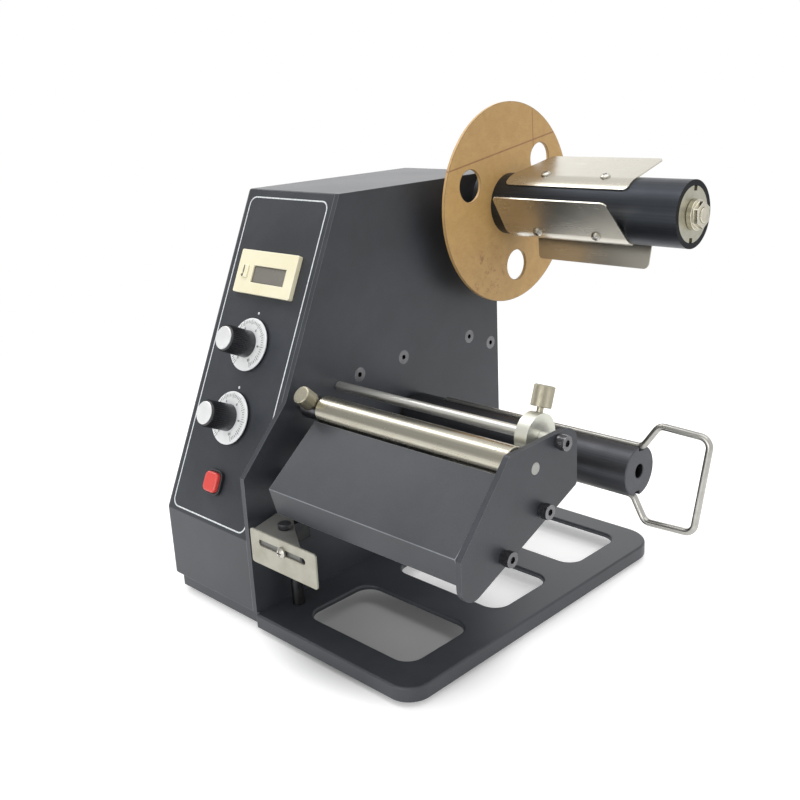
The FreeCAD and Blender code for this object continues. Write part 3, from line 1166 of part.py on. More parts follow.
def leaf_solid():
    """One spring leaf in the tube's section: hugs the tube, then leaves along the tangent."""
    thick = val("leaf_thickness")
    inner = val("tube_diameter / 2 + running_fit")
    reach = val("leaf_reach")
    length = val("leaf_length")
    left = val("leaf_left")
    free_left = left + val("leaf_slant")
    free_right = free_left + val("leaf_free_length")
    wrap = Part.makeCylinder(inner + thick, length, Vector(left, 0, 0), X_AXIS, val("leaf_wrap"))
    wrap = wrap.cut(Part.makeCylinder(inner, length, Vector(left, 0, 0), X_AXIS)).Solids[0]
    middle = math.degrees(math.atan2(wrap.CenterOfMass.z, wrap.CenterOfMass.y))
    wrap.rotate(Vector(), X_AXIS, 90 + val("leaf_wrap") / 2 - middle)
    outline = [Vector(left, 0, inner), Vector(free_left, reach, inner),
               Vector(free_right, reach, inner), Vector(left + length, 0, inner)]
    flat = Part.Face(Part.makePolygon(outline + outline[:1])).extrude(Vector(0, 0, thick))
    leaf = flat.fuse(wrap).removeSplitter()
    low = leaf.BoundBox.ZMin + thick
    corners = [edge for edge in leaf.Edges if abs(edge.Length - thick) < 1e-3
               and (edge.BoundBox.YMin > reach - 1e-3 or edge.BoundBox.ZMin < low)]
    leaf = leaf.makeFillet(val("leaf_corner"), corners)
    for x in LEAF_SCREWS_X:
        leaf = leaf.cut(Part.makeCylinder(val("leaf_screw / 2"), inner, Vector(val(x), 0, inner / 2)))
    return leaf.Solids[0]


def make_spring_leaves():
    """Three stainless leaves screwed to the tube, tangential, that grip the core of a label roll."""
    leaf = leaf_solid()
    step = 360 / val("leaf_count")
    copies = []
    for index in range(int(val("leaf_count"))):
        copy = leaf.copy()
        copy.rotate(Vector(), X_AXIS, val("leaf_angle") - 90 + step * index)
        copies.append(copy)
    leaves = feature_shape("spring_leaves", Part.makeCompound(copies))
    put(leaves, "0", "spindle_y", "spindle_z")
    seat = "tube_diameter / 2 + running_fit + leaf_thickness"
    tip = "-tube_wall - leaf_thickness - running_fit"
    pan = master("leaf_screw_pattern", [
        ("0", tip), ("leaf_screw / 2", tip), ("leaf_screw / 2", "0"), ("leaf_screw_head / 2", "0"),
        ("leaf_screw_head / 2", "leaf_screw_head_height"), ("0", "leaf_screw_head_height"),
    ])
    places = []
    for index in range(int(val("leaf_count"))):
        angle = f"(leaf_angle + {step * index})"
        turn = Rotation(X_AXIS, val(angle) - 90)
        for x in LEAF_SCREWS_X:
            y, z = f"spindle_y + ({seat}) * cos{angle}", f"spindle_z + ({seat}) * sin{angle}"
            places.append((x, y, z, turn))
    group("leaf_screws", (pan, places))


# ---------------------------------------------------------------- label sensor

def make_sensor():
    """Post on the base, clamp block, bent bracket and the slotted plate that slides across its front."""
    turned_post = turned("sensor_post", [
        ("0", "pan_screw_length"), ("pan_screw / 2", "pan_screw_length"), ("pan_screw / 2", "0"),
        ("post_diameter / 2", "0"), ("post_diameter / 2", "post_height"), ("0", "post_height"),
    ])
    put(turned_post, "post_x", "post_y")
    block = new_body("sensor_clamp")
    top = "post_height"
    drawing = sketch(block, "XY_Plane", f"{top} - clamp_height")
    rectangle(drawing, "clamp_left", "clamp_front", "clamp_right", "clamp_rear")
    circle(drawing, "post_x", "post_y", "post_diameter / 2")
    pad(block, drawing, "clamp_height")
    put(block)
    bracket = new_body("sensor_bracket")
    flat = sketch(bracket, "XY_Plane", top)
    polygon(flat, [
        ("bracket_left", "bracket_front"), ("bracket_right", "bracket_front"),
        ("bracket_bend_x", "bracket_bend_y"), ("bracket_rear_right", "bracket_rear"),
        ("bracket_rear_left", "bracket_rear"),
    ])
    pad(bracket, flat, "bracket_thickness")
    high = f"{top} + bracket_thickness"
    middle = f"{high} - sensor_slot_down"
    tab = sketch(bracket, "XZ_Plane", "-bracket_front")
    rectangle(tab, "bracket_left", f"{high} - bracket_tab", "bracket_right", high)
    circle(tab, "sensor_screw_x", middle, "sensor_screw / 2")
    pad(bracket, tab, "bracket_thickness")
    put(bracket)
    slide = new_body("sensor_plate")
    face = sketch(slide, "XZ_Plane", "bracket_thickness - bracket_front")
    crown = f"{high} + sensor_plate_rise"
    rectangle(face, "sensor_plate_left", f"{crown} - sensor_plate_tall",
              "sensor_plate_left + sensor_plate_length", crown)
    pad(slide, face, "bracket_thickness")
    slot = sketch(slide, "XZ_Plane", "bracket_thickness - bracket_front")
    left = "sensor_plate_left + sensor_slot_left"
    rectangle(slot, left, f"{middle} - sensor_slot_width / 2",
              f"{left} + sensor_slot_length", f"{middle} + sensor_slot_width / 2")
    cut = pocket(slide, slot, "4 * bracket_thickness", midplane=True)
    ends = edges_that(cut, lambda box: box.YLength > 0.5 and box.XLength < 1e-6 and (
        near(box.XMin, left) or near(box.XMin, f"{left} + sensor_slot_length")))
    slotted = fillet(slide, cut, ends, "sensor_slot_width / 2 - 0.05")
    outer = ("sensor_plate_left", "sensor_plate_left + sensor_plate_length")
    corners = edges_that(slotted, lambda box: box.YLength > 0.5 and box.XLength < 1e-6
                         and any(near(box.XMin, side) for side in outer))
    fillet(slide, slotted, corners, "sensor_plate_corner")
    put(slide)
    screw = turned("sensor_screw", [
        ("0", "-2 * bracket_thickness"), ("sensor_screw / 2", "-2 * bracket_thickness"),
        ("sensor_screw / 2", "0"), ("sensor_screw_head / 2", "0"),
        ("sensor_screw_head / 2", "sensor_screw_head_height"),
        ("0", "sensor_screw_head_height"),
    ])
    put(screw, "sensor_screw_x", "bracket_front - 2 * bracket_thickness", middle, Rotation(X_AXIS, 90))
    eye = turned("sensor_eye", tube_section("sensor_eye_diameter / 2", "0", "0", "sensor_eye_height"))
    put(eye, "sensor_eye_x", "sensor_eye_y", high)


make_base_plate()
make_feet()
make_main_plate()
make_cabinet_cover()
make_bottom_tray()
make_stays()
make_pan_screws()
make_counter()
make_dial("length", "length_up")
make_dial("speed", "speed_up")
make_potentiometers()
make_lamp()
make_power_inlet()
make_rocker_switch()
make_electronics()
make_side_plate()
make_rods()
make_cap_screws()
make_peel_plate()
make_peel_ribs()
make_guide_roller()
make_collar()
make_guide_ring()
make_take_up()
make_drive()
make_wire_clip()
make_spindle_axle()
make_supply_roll_parts()
make_spring_leaves()
make_sensor()
doc.recompute()

# ---------------------------------------------------------------- checks and export

for item in doc.Objects:
    if "Invalid" in item.State or "Error" in item.State:
        raise ValueError(f"{item.Label} failed: {item.State}")
os.makedirs("parts", exist_ok=True)
for item in sub_parts:
    if item.Shape.isNull() or not item.Shape.isValid():
        raise ValueError(f"{item.Label} has no valid shape")
    item.Shape.exportStep(f"parts/{item.Label}.step")
    print(f"{item.Label}: {len(item.Shape.Solids)} solids, {item.Shape.Volume:.1f} mm3")
print(f"{len(sub_parts)} nodes")
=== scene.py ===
import math

import bmesh
import bpy
from mathutils import Matrix, Vector


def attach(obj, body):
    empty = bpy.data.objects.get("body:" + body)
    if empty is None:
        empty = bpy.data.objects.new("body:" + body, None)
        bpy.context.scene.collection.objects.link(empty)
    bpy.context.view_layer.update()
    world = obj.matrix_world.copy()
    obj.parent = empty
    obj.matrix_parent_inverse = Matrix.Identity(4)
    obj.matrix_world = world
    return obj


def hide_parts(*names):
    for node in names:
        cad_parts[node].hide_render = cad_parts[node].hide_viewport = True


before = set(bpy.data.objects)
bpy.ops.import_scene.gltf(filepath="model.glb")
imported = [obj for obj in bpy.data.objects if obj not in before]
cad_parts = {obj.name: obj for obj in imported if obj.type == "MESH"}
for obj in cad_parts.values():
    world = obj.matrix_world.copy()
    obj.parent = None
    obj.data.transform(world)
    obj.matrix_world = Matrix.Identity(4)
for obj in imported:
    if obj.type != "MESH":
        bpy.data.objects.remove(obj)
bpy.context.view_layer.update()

# ---------- studio
# A white sweep under a bench-top machine: it fades into the white round it, and a painted shadow greys it
# below the machine. Four soft lamps and a narrow strip light the room, and a dark card shows in mirror-like
# faces only.


def srgb(text):
    """Linear colour from a hex value such as #c8c8c8."""
    parts = [int(text[place:place + 2], 16) / 255 for place in (1, 3, 5)]
    return [part / 12.92 if part <= 0.04045 else ((part + 0.055) / 1.055) ** 2.4 for part in parts] + [1.0]


def add(tree, kind, inputs=None, **settings):
    """One node with its settings; an input takes a value, a hex colour, an output or a node's first one."""
    made = tree.nodes.new(kind)
    for name, value in settings.items():
        setattr(made, name, value)
    for name, value in (inputs or {}).items():
        if isinstance(value, bpy.types.Node):
            value = next(output for output in value.outputs if output.enabled)
        if isinstance(value, str) and value.startswith("#"):
            value = srgb(value)
        if isinstance(value, bpy.types.NodeSocket):
            tree.links.new(value, made.inputs[name])
        else:
            made.inputs[name].default_value = value
    return made


def new_finish(name):
    """Empty material, its tree, and the place of a point on the piece."""
    made = bpy.data.materials.new(name)
    made.use_nodes = True
    made.node_tree.nodes.clear()
    return made, made.node_tree, add(made.node_tree, "ShaderNodeTexCoord").outputs["Object"]


def in_scene(name, data):
    """Object at the origin for a mesh, a lamp or a camera."""
    made = bpy.data.objects.new(name, data)
    bpy.context.collection.objects.link(made)
    return made


def mm(x, y, z):
    """A point in millimetres from the main plate's face, the cabinet's front and the base's top."""
    return Vector((x - 53.65, y - 123.55, z + 10.5)) / 1000


def seen_rays(tree):
    """1 for what the eye sees, also in a mirror or through glass, else 0; and all the kinds of ray."""
    rays = add(tree, "ShaderNodeLightPath").outputs
    seen = add(tree, "ShaderNodeMath", {0: rays["Is Camera Ray"], 1: rays["Is Glossy Ray"]},
               operation="MAXIMUM")
    return add(tree, "ShaderNodeMath", {0: seen, 1: rays["Is Transmission Ray"]}, operation="MAXIMUM"), rays


floor_white, tree, where = new_finish("white_sweep")
reach = add(tree, "ShaderNodeVectorMath", {0: where}, operation="LENGTH")
fade = add(tree, "ShaderNodeMapRange", {"Value": reach, "From Min": 0.28, "From Max": 0.75})
grit = add(tree, "ShaderNodeTexNoise", {"Vector": where, "Scale": 900.0})
paper = add(tree, "ShaderNodeMapRange", {"Value": grit, "To Min": 0.97})
# Painted shadow: near a point below the machine's front the paper is greyed and loses its lift, out to 75 mm.
from_painted_shadow = add(tree, "ShaderNodeVectorMath", {0: where, 1: (0.0, -0.08, 0.0)}, operation="DISTANCE")
shade = add(tree, "ShaderNodeMapRange", {
    "Value": from_painted_shadow, "From Min": 0.02, "From Max": 0.075, "To Min": 0.46, "To Max": 0.88},
    interpolation_type="SMOOTHSTEP")
paper = add(tree, "ShaderNodeMath", {0: paper, 1: shade}, operation="MULTIPLY")
diffuse = add(tree, "ShaderNodeBsdfDiffuse", {"Color": paper})
seen, rays = seen_rays(tree)
away = add(tree, "ShaderNodeMapRange", {"Value": from_painted_shadow, "From Min": 0.03, "From Max": 0.075, "To Max": 0.34},
           interpolation_type="SMOOTHSTEP")
lift = add(tree, "ShaderNodeMath", {0: seen, 1: away}, operation="MULTIPLY")
glow = add(tree, "ShaderNodeEmission", {"Strength": lift})
lifted_floor = add(tree, "ShaderNodeAddShader", {0: diffuse, 1: glow})
plain = add(tree, "ShaderNodeEmission", {"Strength": seen})
mixed = add(tree, "ShaderNodeMixShader", {0: fade, 1: lifted_floor, 2: plain})
add(tree, "ShaderNodeOutputMaterial", {"Surface": mixed})

corners, radius = 48, 6
turns = [index * math.pi / (corners / 2) for index in range(corners)]
floor_mesh = bpy.data.meshes.new("floor_sweep")
floor_mesh.from_pydata([(radius * math.cos(turn), radius * math.sin(turn), 0) for turn in turns],
                       [], [list(range(corners))])
floor_mesh.materials.append(floor_white)
in_scene("floor_sweep", floor_mesh)

world = bpy.data.worlds.new("white_room")
bpy.context.scene.world = world
world.use_nodes = True
tree = world.node_tree
tree.nodes.clear()
seen, rays = seen_rays(tree)
level = add(tree, "ShaderNodeMapRange", {"Value": seen, "To Min": 0.92})
way = add(tree, "ShaderNodeTexCoord").outputs["Generated"]
toward_card = add(tree, "ShaderNodeVectorMath", {0: way, 1: (-0.69, -0.66, 0.30)}, operation="DOT_PRODUCT")
card = add(tree, "ShaderNodeMapRange", {
    "Value": toward_card, "From Min": 0.74, "From Max": 0.97, "To Max": 0.55},
    interpolation_type="SMOOTHSTEP")
card = add(tree, "ShaderNodeMath", {0: card, 1: rays["Is Glossy Ray"]}, operation="MULTIPLY")
level = add(tree, "ShaderNodeMath", {0: level, 1: card}, operation="SUBTRACT")
backdrop = add(tree, "ShaderNodeBackground", {"Color": "#ffffff", "Strength": level})
add(tree, "ShaderNodeOutputWorld", {"Surface": backdrop})

for name, place, aim, wide, tall, power in (
        ("overhead_softbox", (0.15, 0.0, 1.15), (0, 0, 0.1), 1.0, 1.0, 3.4),
        ("rear_softbox", (-1.1, 1.15, 0.62), (0, 0, 0.15), 1.3, 0.8, 2.4),
        ("front_softbox", (0.1, -1.45, 0.22), (0, 0, 0.1), 1.1, 0.8, 7.4),
        ("side_softbox", (1.5, 0.1, 0.75), (0, 0, 0.12), 1.0, 0.9, 1.0),
        ("strip_for_round_parts", (-0.78, -0.12, 0.95), (0, -0.05, 0.1), 0.22, 0.9, 3.0)):
    light = bpy.data.lights.new(name, "AREA")
    light.shape = "RECTANGLE"
    light.size = wide
    light.size_y = tall
    light.energy = power
    lamp = in_scene(name, light)
    lamp.location = place
    lamp.rotation_euler = (Vector(aim) - Vector(place)).to_track_quat("-Z", "Y").to_euler()

optics = bpy.data.cameras.new("bench_camera")
optics.sensor_width = 36.0
optics.lens = 45.48
camera = in_scene("bench_camera", optics)
right = Vector((0.7145, 0.6980, -0.0469)).normalized()
ahead = Vector((-0.6762, 0.6718, -0.3024)).normalized()
right = (right - ahead * right.dot(ahead)).normalized()
turn = Matrix((right, right.cross(ahead), -ahead)).transposed().to_4x4()
camera.matrix_world = Matrix.Translation(mm(391.17, -275.43, 262.57)) @ turn
bpy.context.scene.camera = camera
bpy.context.scene.view_settings.view_transform = "Standard"

# ---------- coated sheet metal
# Base plate, cabinet cover, main plate, side plate and peel plate: laser-cut and folded mild steel under
# black epoxy powder coat. The coat has a fine orange peel, dulls where hands touch it and thins on edges;
# the lighter edge colour is also a painted highlight.


def uneven(tree, broad, low, high, fine, fine_low, fine_high):
    """Roughness that drifts after a broad pattern, with a fine one laid over it."""
    drift = add(tree, "ShaderNodeMapRange", {"Value": broad, "To Min": low, "To Max": high})
    ripple = add(tree, "ShaderNodeMapRange", {"Value": fine, "To Min": fine_low, "To Max": fine_high})
    return add(tree, "ShaderNodeMath", {0: drift, 1: ripple})


def closed(tree, colour, gloss, inputs, grain=None, strength=0.0, depth=0.0):
    """End a finish: a bump where it has a grain, the skin and the output."""
    if grain:
        inputs["Normal"] = add(tree, "ShaderNodeBump", {
            "Height": grain, "Strength": strength, "Distance": depth})
    skin = add(tree, "ShaderNodeBsdfPrincipled", {"Base Color": colour, "Roughness": gloss, **inputs})
    add(tree, "ShaderNodeOutputMaterial", {"Surface": skin})


def powder_coat(name, shade, dusty, rough):
    """Powder coat: dielectric, orange peel drawn as coarse as it shows, 0.8 mm, dusty patches of 40 mm."""
    made, tree, where = new_finish(name)
    peel = add(tree, "ShaderNodeTexNoise", {"Vector": where, "Scale": 1250.0, "Detail": 3.0, "Roughness": 0.6})
    patch = add(tree, "ShaderNodeTexNoise", {"Vector": where, "Scale": 25.0, "Detail": 5.0, "Roughness": 0.65})
    worn = add(tree, "ShaderNodeMapRange", {"Value": patch, "From Min": 0.35, "From Max": 0.75})
    colour = add(tree, "ShaderNodeMix", {0: worn, 6: shade, 7: dusty}, data_type="RGBA")
    speck = add(tree, "ShaderNodeMapRange", {
        "Value": peel, "From Min": 0.3, "From Max": 0.7, "To Min": 0.9, "To Max": 1.1})
    colour = add(tree, "ShaderNodeMix", {0: 1.0, 6: colour, 7: speck}, data_type="RGBA",
                 blend_type="MULTIPLY")
    gloss = uneven(tree, patch, rough - 0.05, rough + 0.07, peel, -0.03, 0.03)
    closed(tree, colour, gloss, {"IOR": 1.5}, peel, 0.25, 0.00012)
    return made


black_powder_coat = powder_coat("black_powder_coat_on_steel", "#2c2f34", "#393c42", 0.42)
# The edge coat is lighter partly because the coat thins there and partly as a painted edge highlight.
edge_coat_thinned_and_highlit = powder_coat("powder_coat_thinned_and_painted_highlight_on_edges", "#6c6f74", "#85888d", 0.36)


def dress(finish, *nodes):
    """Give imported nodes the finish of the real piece."""
    for name in nodes:
        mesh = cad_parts[name].data
        mesh.materials.clear()
        mesh.materials.append(finish)


def smoothed(mesh, degrees):
    """Smooth shading that keeps the edges sharper than an angle."""
    for face in mesh.polygons:
        face.use_smooth = True
    mesh.set_sharp_from_angle(angle=math.radians(degrees))


def eased(node, name, radius, finish, body="frame", edge=None, steps=2):
    """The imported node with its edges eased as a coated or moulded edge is; it stands for the node."""
    still_flat = 28
    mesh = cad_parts[node].data.copy()
    mesh.name = name
    shape = bmesh.new()
    shape.from_mesh(mesh)
    bmesh.ops.remove_doubles(shape, verts=shape.verts, dist=2e-6)
    bmesh.ops.dissolve_limit(shape, angle_limit=math.radians(0.4), verts=shape.verts, edges=shape.edges)
    for face in shape.faces:
        face.material_index = 0
    shape.to_mesh(mesh)
    shape.free()
    mesh.materials.clear()
    mesh.materials.append(finish)
    mesh.materials.append(edge or finish)
    smoothed(mesh, still_flat)
    piece = in_scene(name, mesh)
    ease = piece.modifiers.new("eased_edges", "BEVEL")
    ease.width = radius / 1000
    ease.segments = steps
    ease.angle_limit = math.radians(still_flat)
    ease.material = 1 if edge else -1
    level = piece.modifiers.new("level_faces", "WEIGHTED_NORMAL")
    level.weight = 100
    level.keep_sharp = True
    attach(piece, body)
    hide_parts(node)
    return piece


for node, radius in (("base_plate", 0.35), ("cabinet_cover", 0.3), ("main_plate", 0.35),
                     ("right_side_plate", 0.35), ("peel_plate", 0.3)):
    eased(node, node + "_coated", radius, black_powder_coat, edge=edge_coat_thinned_and_highlit)
dress(black_powder_coat, "peel_ribs")

# ---------- bottom tray, stays and their screws
# A zinc-plated tray closes the cabinet from below and four turned stays hold the cover off the main plate.
# Bright zinc is bluish, lightly spangled and a little stained where it has been handled.


def plated(name, shade, stain, rough, grain=600.0, metal=1.0):
    """Electroplated steel: metallic, cloudy stains 12 mm across over a grain of 1.5 mm or less."""
    made, tree, where = new_finish(name)
    cloud = add(tree, "ShaderNodeTexNoise", {"Vector": where, "Scale": 85.0, "Detail": 6.0, "Roughness": 0.7})
    fine = add(tree, "ShaderNodeTexNoise", {"Vector": where, "Scale": grain})
    amount = add(tree, "ShaderNodeMapRange", {"Value": cloud, "From Min": 0.4, "From Max": 0.75})
    colour = add(tree, "ShaderNodeMix", {0: amount, 6: shade, 7: stain}, data_type="RGBA")
    gloss = uneven(tree, cloud, rough - 0.07, rough + 0.1, fine, -0.04, 0.04)
    closed(tree, colour, gloss, {"Metallic": metal}, fine, 0.12, 0.0001)
    return made


bright_zinc = plated("bright_zinc_on_steel", "#b9bdc0", "#9ea19d", 0.32)
black_oxide = plated("black_oxide_on_steel", "#34363a", "#4a4946", 0.38)
dress(bright_zinc, "bottom_tray", "stay_rods")

# ---------- pan-head screws
# M4 and M3 steel screws with a cross recess. The head is headed cold, so its edge is round and its recess
# has soft flanks; one tree makes every such screw, set on points that carry the direction they face.


def new_pattern(name, sizes):
    """Empty geometry tree with a named input for each size, for points that face somewhere."""
    tree = bpy.data.node_groups.new(name, "GeometryNodeTree")
    tree.interface.new_socket("Points", in_out="INPUT", socket_type="NodeSocketGeometry")
    for label, kind in sizes.items():
        tree.interface.new_socket(label, in_out="INPUT", socket_type="NodeSocket" + kind)
    tree.interface.new_socket("Geometry", in_out="OUTPUT", socket_type="NodeSocketGeometry")
    return tree, add(tree, "NodeGroupInput").outputs


def lifted(tree, shape, height):
    """A shape moved along its own axis."""
    upward = add(tree, "ShaderNodeCombineXYZ", {"Z": height})
    return add(tree, "GeometryNodeTransform", {"Geometry": shape, "Translation": upward})


def cut_from(tree, solids, cutters):
    """Solids joined into one, less the cutters."""
    whole = add(tree, "GeometryNodeMeshBoolean", operation="UNION")
    left = add(tree, "GeometryNodeMeshBoolean", {"Mesh 1": whole}, operation="DIFFERENCE")
    for shapes, step in ((solids, whole), (cutters, left)):
        for shape in shapes:
            tree.links.new(shape.outputs[0], step.inputs["Mesh 2"])
    return left


def placed(tree, points, thing, finish):
    """Set one shape on every point, turned to face its way, then make it real and give it a finish."""
    facing = add(tree, "GeometryNodeInputNamedAttribute", {"Name": "facing"}, data_type="FLOAT_VECTOR")
    turned = add(tree, "FunctionNodeAlignRotationToVector", {"Vector": facing}, axis="Z")
    copies = add(tree, "GeometryNodeInstanceOnPoints", {
        "Points": points, "Instance": thing, "Rotation": turned})
    real = add(tree, "GeometryNodeRealizeInstances", {"Geometry": copies})
    done = add(tree, "GeometryNodeSetMaterial", {"Geometry": real, "Material": finish})
    add(tree, "NodeGroupOutput", {0: done})


def baked(tree, name, spots, values, body="frame", replaces=None):
    """Run a tree on spots, each a place and the way it faces, and keep the outcome as a plain mesh."""
    start = bpy.data.meshes.new(name)
    start.from_pydata([place for place, facing in spots], [], [])
    ways = start.attributes.new("facing", "FLOAT_VECTOR", "POINT")
    for way, (place, facing) in zip(ways.data, spots):
        way.vector = facing
    piece = in_scene(name, start)
    work = piece.modifiers.new("pattern", "NODES")
    work.node_group = tree
    for item in tree.interface.items_tree:
        if item.in_out == "INPUT" and item.name in values:
            work[item.identifier] = values[item.name]
    bpy.context.view_layer.update()
    made = bpy.data.meshes.new_from_object(piece.evaluated_get(bpy.context.evaluated_depsgraph_get()))
    piece.modifiers.remove(work)
    piece.data = made
    made.name = name
    smoothed(made, 30)
    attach(piece, body)
    if replaces:
        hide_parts(replaces)


cross, screw = new_pattern("cross_recess_screw", {
    "Head Radius": "Float", "Head Height": "Float", "Shank Radius": "Float", "Shank Length": "Float",
    "Finish": "Material"})
part = {}  # heights and widths as shares of the screw's own sizes
for name, size, share in (("half head", "Head Height", 0.5), ("quarter head", "Head Height", 0.25),
                          ("crown", "Head Radius", 0.62), ("shank middle", "Shank Length", -0.48),
                          ("recess long", "Head Radius", 1.15), ("recess wide", "Head Radius", 0.24),
                          ("recess middle", "Head Height", 0.95)):
    part[name] = add(cross, "ShaderNodeMath", {0: screw[size], 1: share}, operation="MULTIPLY")
rim = add(cross, "GeometryNodeMeshCylinder", {
    "Vertices": 40, "Radius": screw["Head Radius"], "Depth": part["half head"]})
dome = add(cross, "GeometryNodeMeshCone", {
    "Vertices": 40, "Radius Bottom": screw["Head Radius"], "Radius Top": part["crown"],
    "Depth": part["half head"]})
shank = add(cross, "GeometryNodeMeshCylinder", {
    "Vertices": 24, "Radius": screw["Shank Radius"], "Depth": screw["Shank Length"]})
recess = []  # two crossed bars
for across, along in (("recess long", "recess wide"), ("recess wide", "recess long")):
    size = add(cross, "ShaderNodeCombineXYZ", {
        "X": part[across], "Y": part[along], "Z": screw["Head Height"]})
    recess.append(lifted(cross, add(cross, "GeometryNodeMeshCube", {"Size": size}), part["recess middle"]))
solids = [lifted(cross, rim, part["quarter head"]), lifted(cross, dome, part["half head"]),
          lifted(cross, shank, part["shank middle"])]
placed(cross, screw["Points"], cut_from(cross, solids, recess), screw["Finish"])

tray_places = ((-20.5, 14), (-20.5, 188), (-45.5, 28), (-45.5, 188), (8.6, 21.5))
stay_places = ((83.4, 110), (118, 112), (175, 112), (195, 104))
under_pan, cover_wall = -2.5, -77
under_tray = [(mm(x, y, under_pan), (0, 0, -1)) for x, y in tray_places]
into_stays = [(mm(cover_wall, y, z), (-1, 0, 0)) for y, z in stay_places]
baked(cross, "pan_screws_m4", under_tray + into_stays, {
    "Head Radius": 0.00375, "Head Height": 0.0024, "Shank Radius": 0.002, "Shank Length": 0.009,
    "Finish": bright_zinc}, replaces="pan_screws")

# ---------- panel printing
# A border line with round corners and one index dot above each dial, screen-printed in white epoxy ink on
# the slanted panel. The ink is 0.05 mm thick, matt, and a little thin over the orange peel.
tilt = math.radians(24.6)
panel_out = (0.0, -math.cos(tilt), math.sin(tilt))


def on_panel(across, up_slope, out=0.0):
    """A point on the slanted panel: across, up its slope and out of it, in millimetres."""
    return mm(across, up_slope * math.sin(tilt) - out * math.cos(tilt),
              40.5 + up_slope * math.cos(tilt) + out * math.sin(tilt))


def solid_mesh(name, points, faces, finish, body="frame"):
    """A piece from points and faces, its doubles merged and its faces turned outwards."""
    mesh = bpy.data.meshes.new(name)
    mesh.from_pydata(points, [], faces)
    shape = bmesh.new()
    shape.from_mesh(mesh)
    bmesh.ops.remove_doubles(shape, verts=shape.verts, dist=1e-7)
    bmesh.ops.recalc_face_normals(shape, faces=shape.faces)
    shape.to_mesh(mesh)
    shape.free()
    mesh.materials.append(finish)
    smoothed(mesh, 33)
    piece = in_scene(name, mesh)
    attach(piece, body)


white_ink, tree, where = new_finish("white_epoxy_screen_ink")
thin = add(tree, "ShaderNodeTexNoise", {"Vector": where, "Scale": 1400.0, "Detail": 3.0})
bare = add(tree, "ShaderNodeMapRange", {"Value": thin, "From Min": 0.35, "From Max": 0.7})
colour = add(tree, "ShaderNodeMix", {0: bare, 6: "#e4e7e8", 7: "#b4b8ba"}, data_type="RGBA")
gloss = add(tree, "ShaderNodeMapRange", {"Value": thin, "To Min": 0.5, "To Max": 0.65})
closed(tree, colour, gloss, {})


def rounded_loop(left, low, right_edge, high, radius):
    """Corners of a rectangle turned through arcs, in order."""
    steps, loop = 8, []
    near_x, far_x, near_y, far_y = left + radius, right_edge - radius, low + radius, high - radius
    for x, y, start in ((far_x, far_y, 0), (near_x, far_y, 90), (near_x, near_y, 180), (far_x, near_y, 270)):
        for step in range(steps + 1):
            turn = math.radians(start + 90 * step / steps)
            loop.append((x + radius * math.cos(turn), y + radius * math.sin(turn)))
    return loop


def printed_frame(name, box, line, radius, finish, base, thick):
    """A frame of one line width round a rectangle on the panel."""
    left, low, right_edge, high = box
    outer = rounded_loop(*box, radius)
    inner = rounded_loop(left + line, low + line, right_edge - line, high - line, max(radius - line, 0.05))
    points = [on_panel(x, y, out) for out in (base, base + thick) for x, y in outer + inner]
    count, faces = len(outer), []
    for index in range(count):
        after = (index + 1) % count
        for a, b in ((0, count), (3 * count, 2 * count)):
            faces.append((a + index, a + after, b + after, b + index))
        faces.append((index, 2 * count + index, 2 * count + after, after))
        faces.append((count + index, count + after, 3 * count + after, 3 * count + index))
    solid_mesh(name, points, faces, finish)


def printed_dot(name, across, up_slope, radius, tall, finish, base, thick, body="frame"):
    """A printed spot on the panel, round or stretched up the slope."""
    corners = 20
    turns = [2 * math.pi * index / corners for index in range(corners)]
    ring = [(radius * math.cos(turn), radius * tall * math.sin(turn)) for turn in turns]
    points = [on_panel(across + x, up_slope + y, out) for out in (base, base + thick) for x, y in ring]
    faces = [tuple(range(corners)), tuple(range(2 * corners - 1, corners - 1, -1))]
    faces += [(index, (index + 1) % corners, corners + (index + 1) % corners, corners + index)
              for index in range(corners)]
    solid_mesh(name, points, faces, finish, body)


printed_frame("panel_border_line", (-71, 2, -6, 180), 0.75, 5, white_ink, 0.01, 0.05)
for name, across, up_slope in (("length_index_dot", -39.0, 116.1), ("speed_index_dot", -39.5, 74.9)):
    printed_dot(name, across, up_slope, 0.75, 1.0, white_ink, 0.01, 0.05)

# ---------- counter module
# Plug-in counter 48 x 24 mm: cream ABS moulding, spark-eroded texture, pressed into the panel from outside.
# A grey reflective display lies behind a clear window, and a soft reset key shows in a narrow slot.


def moulded(name, shade, aged, rough, texture=2600.0, depth=0.00004, coat=0.0):
    """Injection-moulded plastic: texture of 0.4 mm from the tool, slight ageing in patches of 20 mm."""
    made, tree, where = new_finish(name)
    spark = add(tree, "ShaderNodeTexNoise", {"Vector": where, "Scale": texture})
    age = add(tree, "ShaderNodeTexNoise", {"Vector": where, "Scale": 50.0, "Detail": 4.0, "Roughness": 0.6})
    amount = add(tree, "ShaderNodeMapRange", {"Value": age, "From Min": 0.3, "From Max": 0.75})
    colour = add(tree, "ShaderNodeMix", {0: amount, 6: shade, 7: aged}, data_type="RGBA")
    gloss = uneven(tree, age, rough - 0.05, rough + 0.06, spark, -0.04, 0.04)
    closed(tree, colour, gloss, {"IOR": 1.53, "Coat Weight": coat}, spark, 0.25, depth)
    return made


cream_abs = moulded("cream_abs_spark_eroded", "#eee8cb", "#e7dfbd", 0.45)
cream_edge = moulded("cream_abs_worn_edge", "#f8f5e2", "#efe9cd", 0.38)
# Dark grey of the reset key, also used as painted shade in the gap round the display.
dark_key_and_gap_shade = moulded("dark_grey_key_cap_and_painted_gap_shade", "#6d6a5c", "#57554b", 0.5)
eased("counter_body", "counter_case", 0.25, cream_abs, edge=cream_edge)
eased("reset_button", "reset_key_cap", 0.3, cream_abs, body="counter_reset", edge=cream_edge)

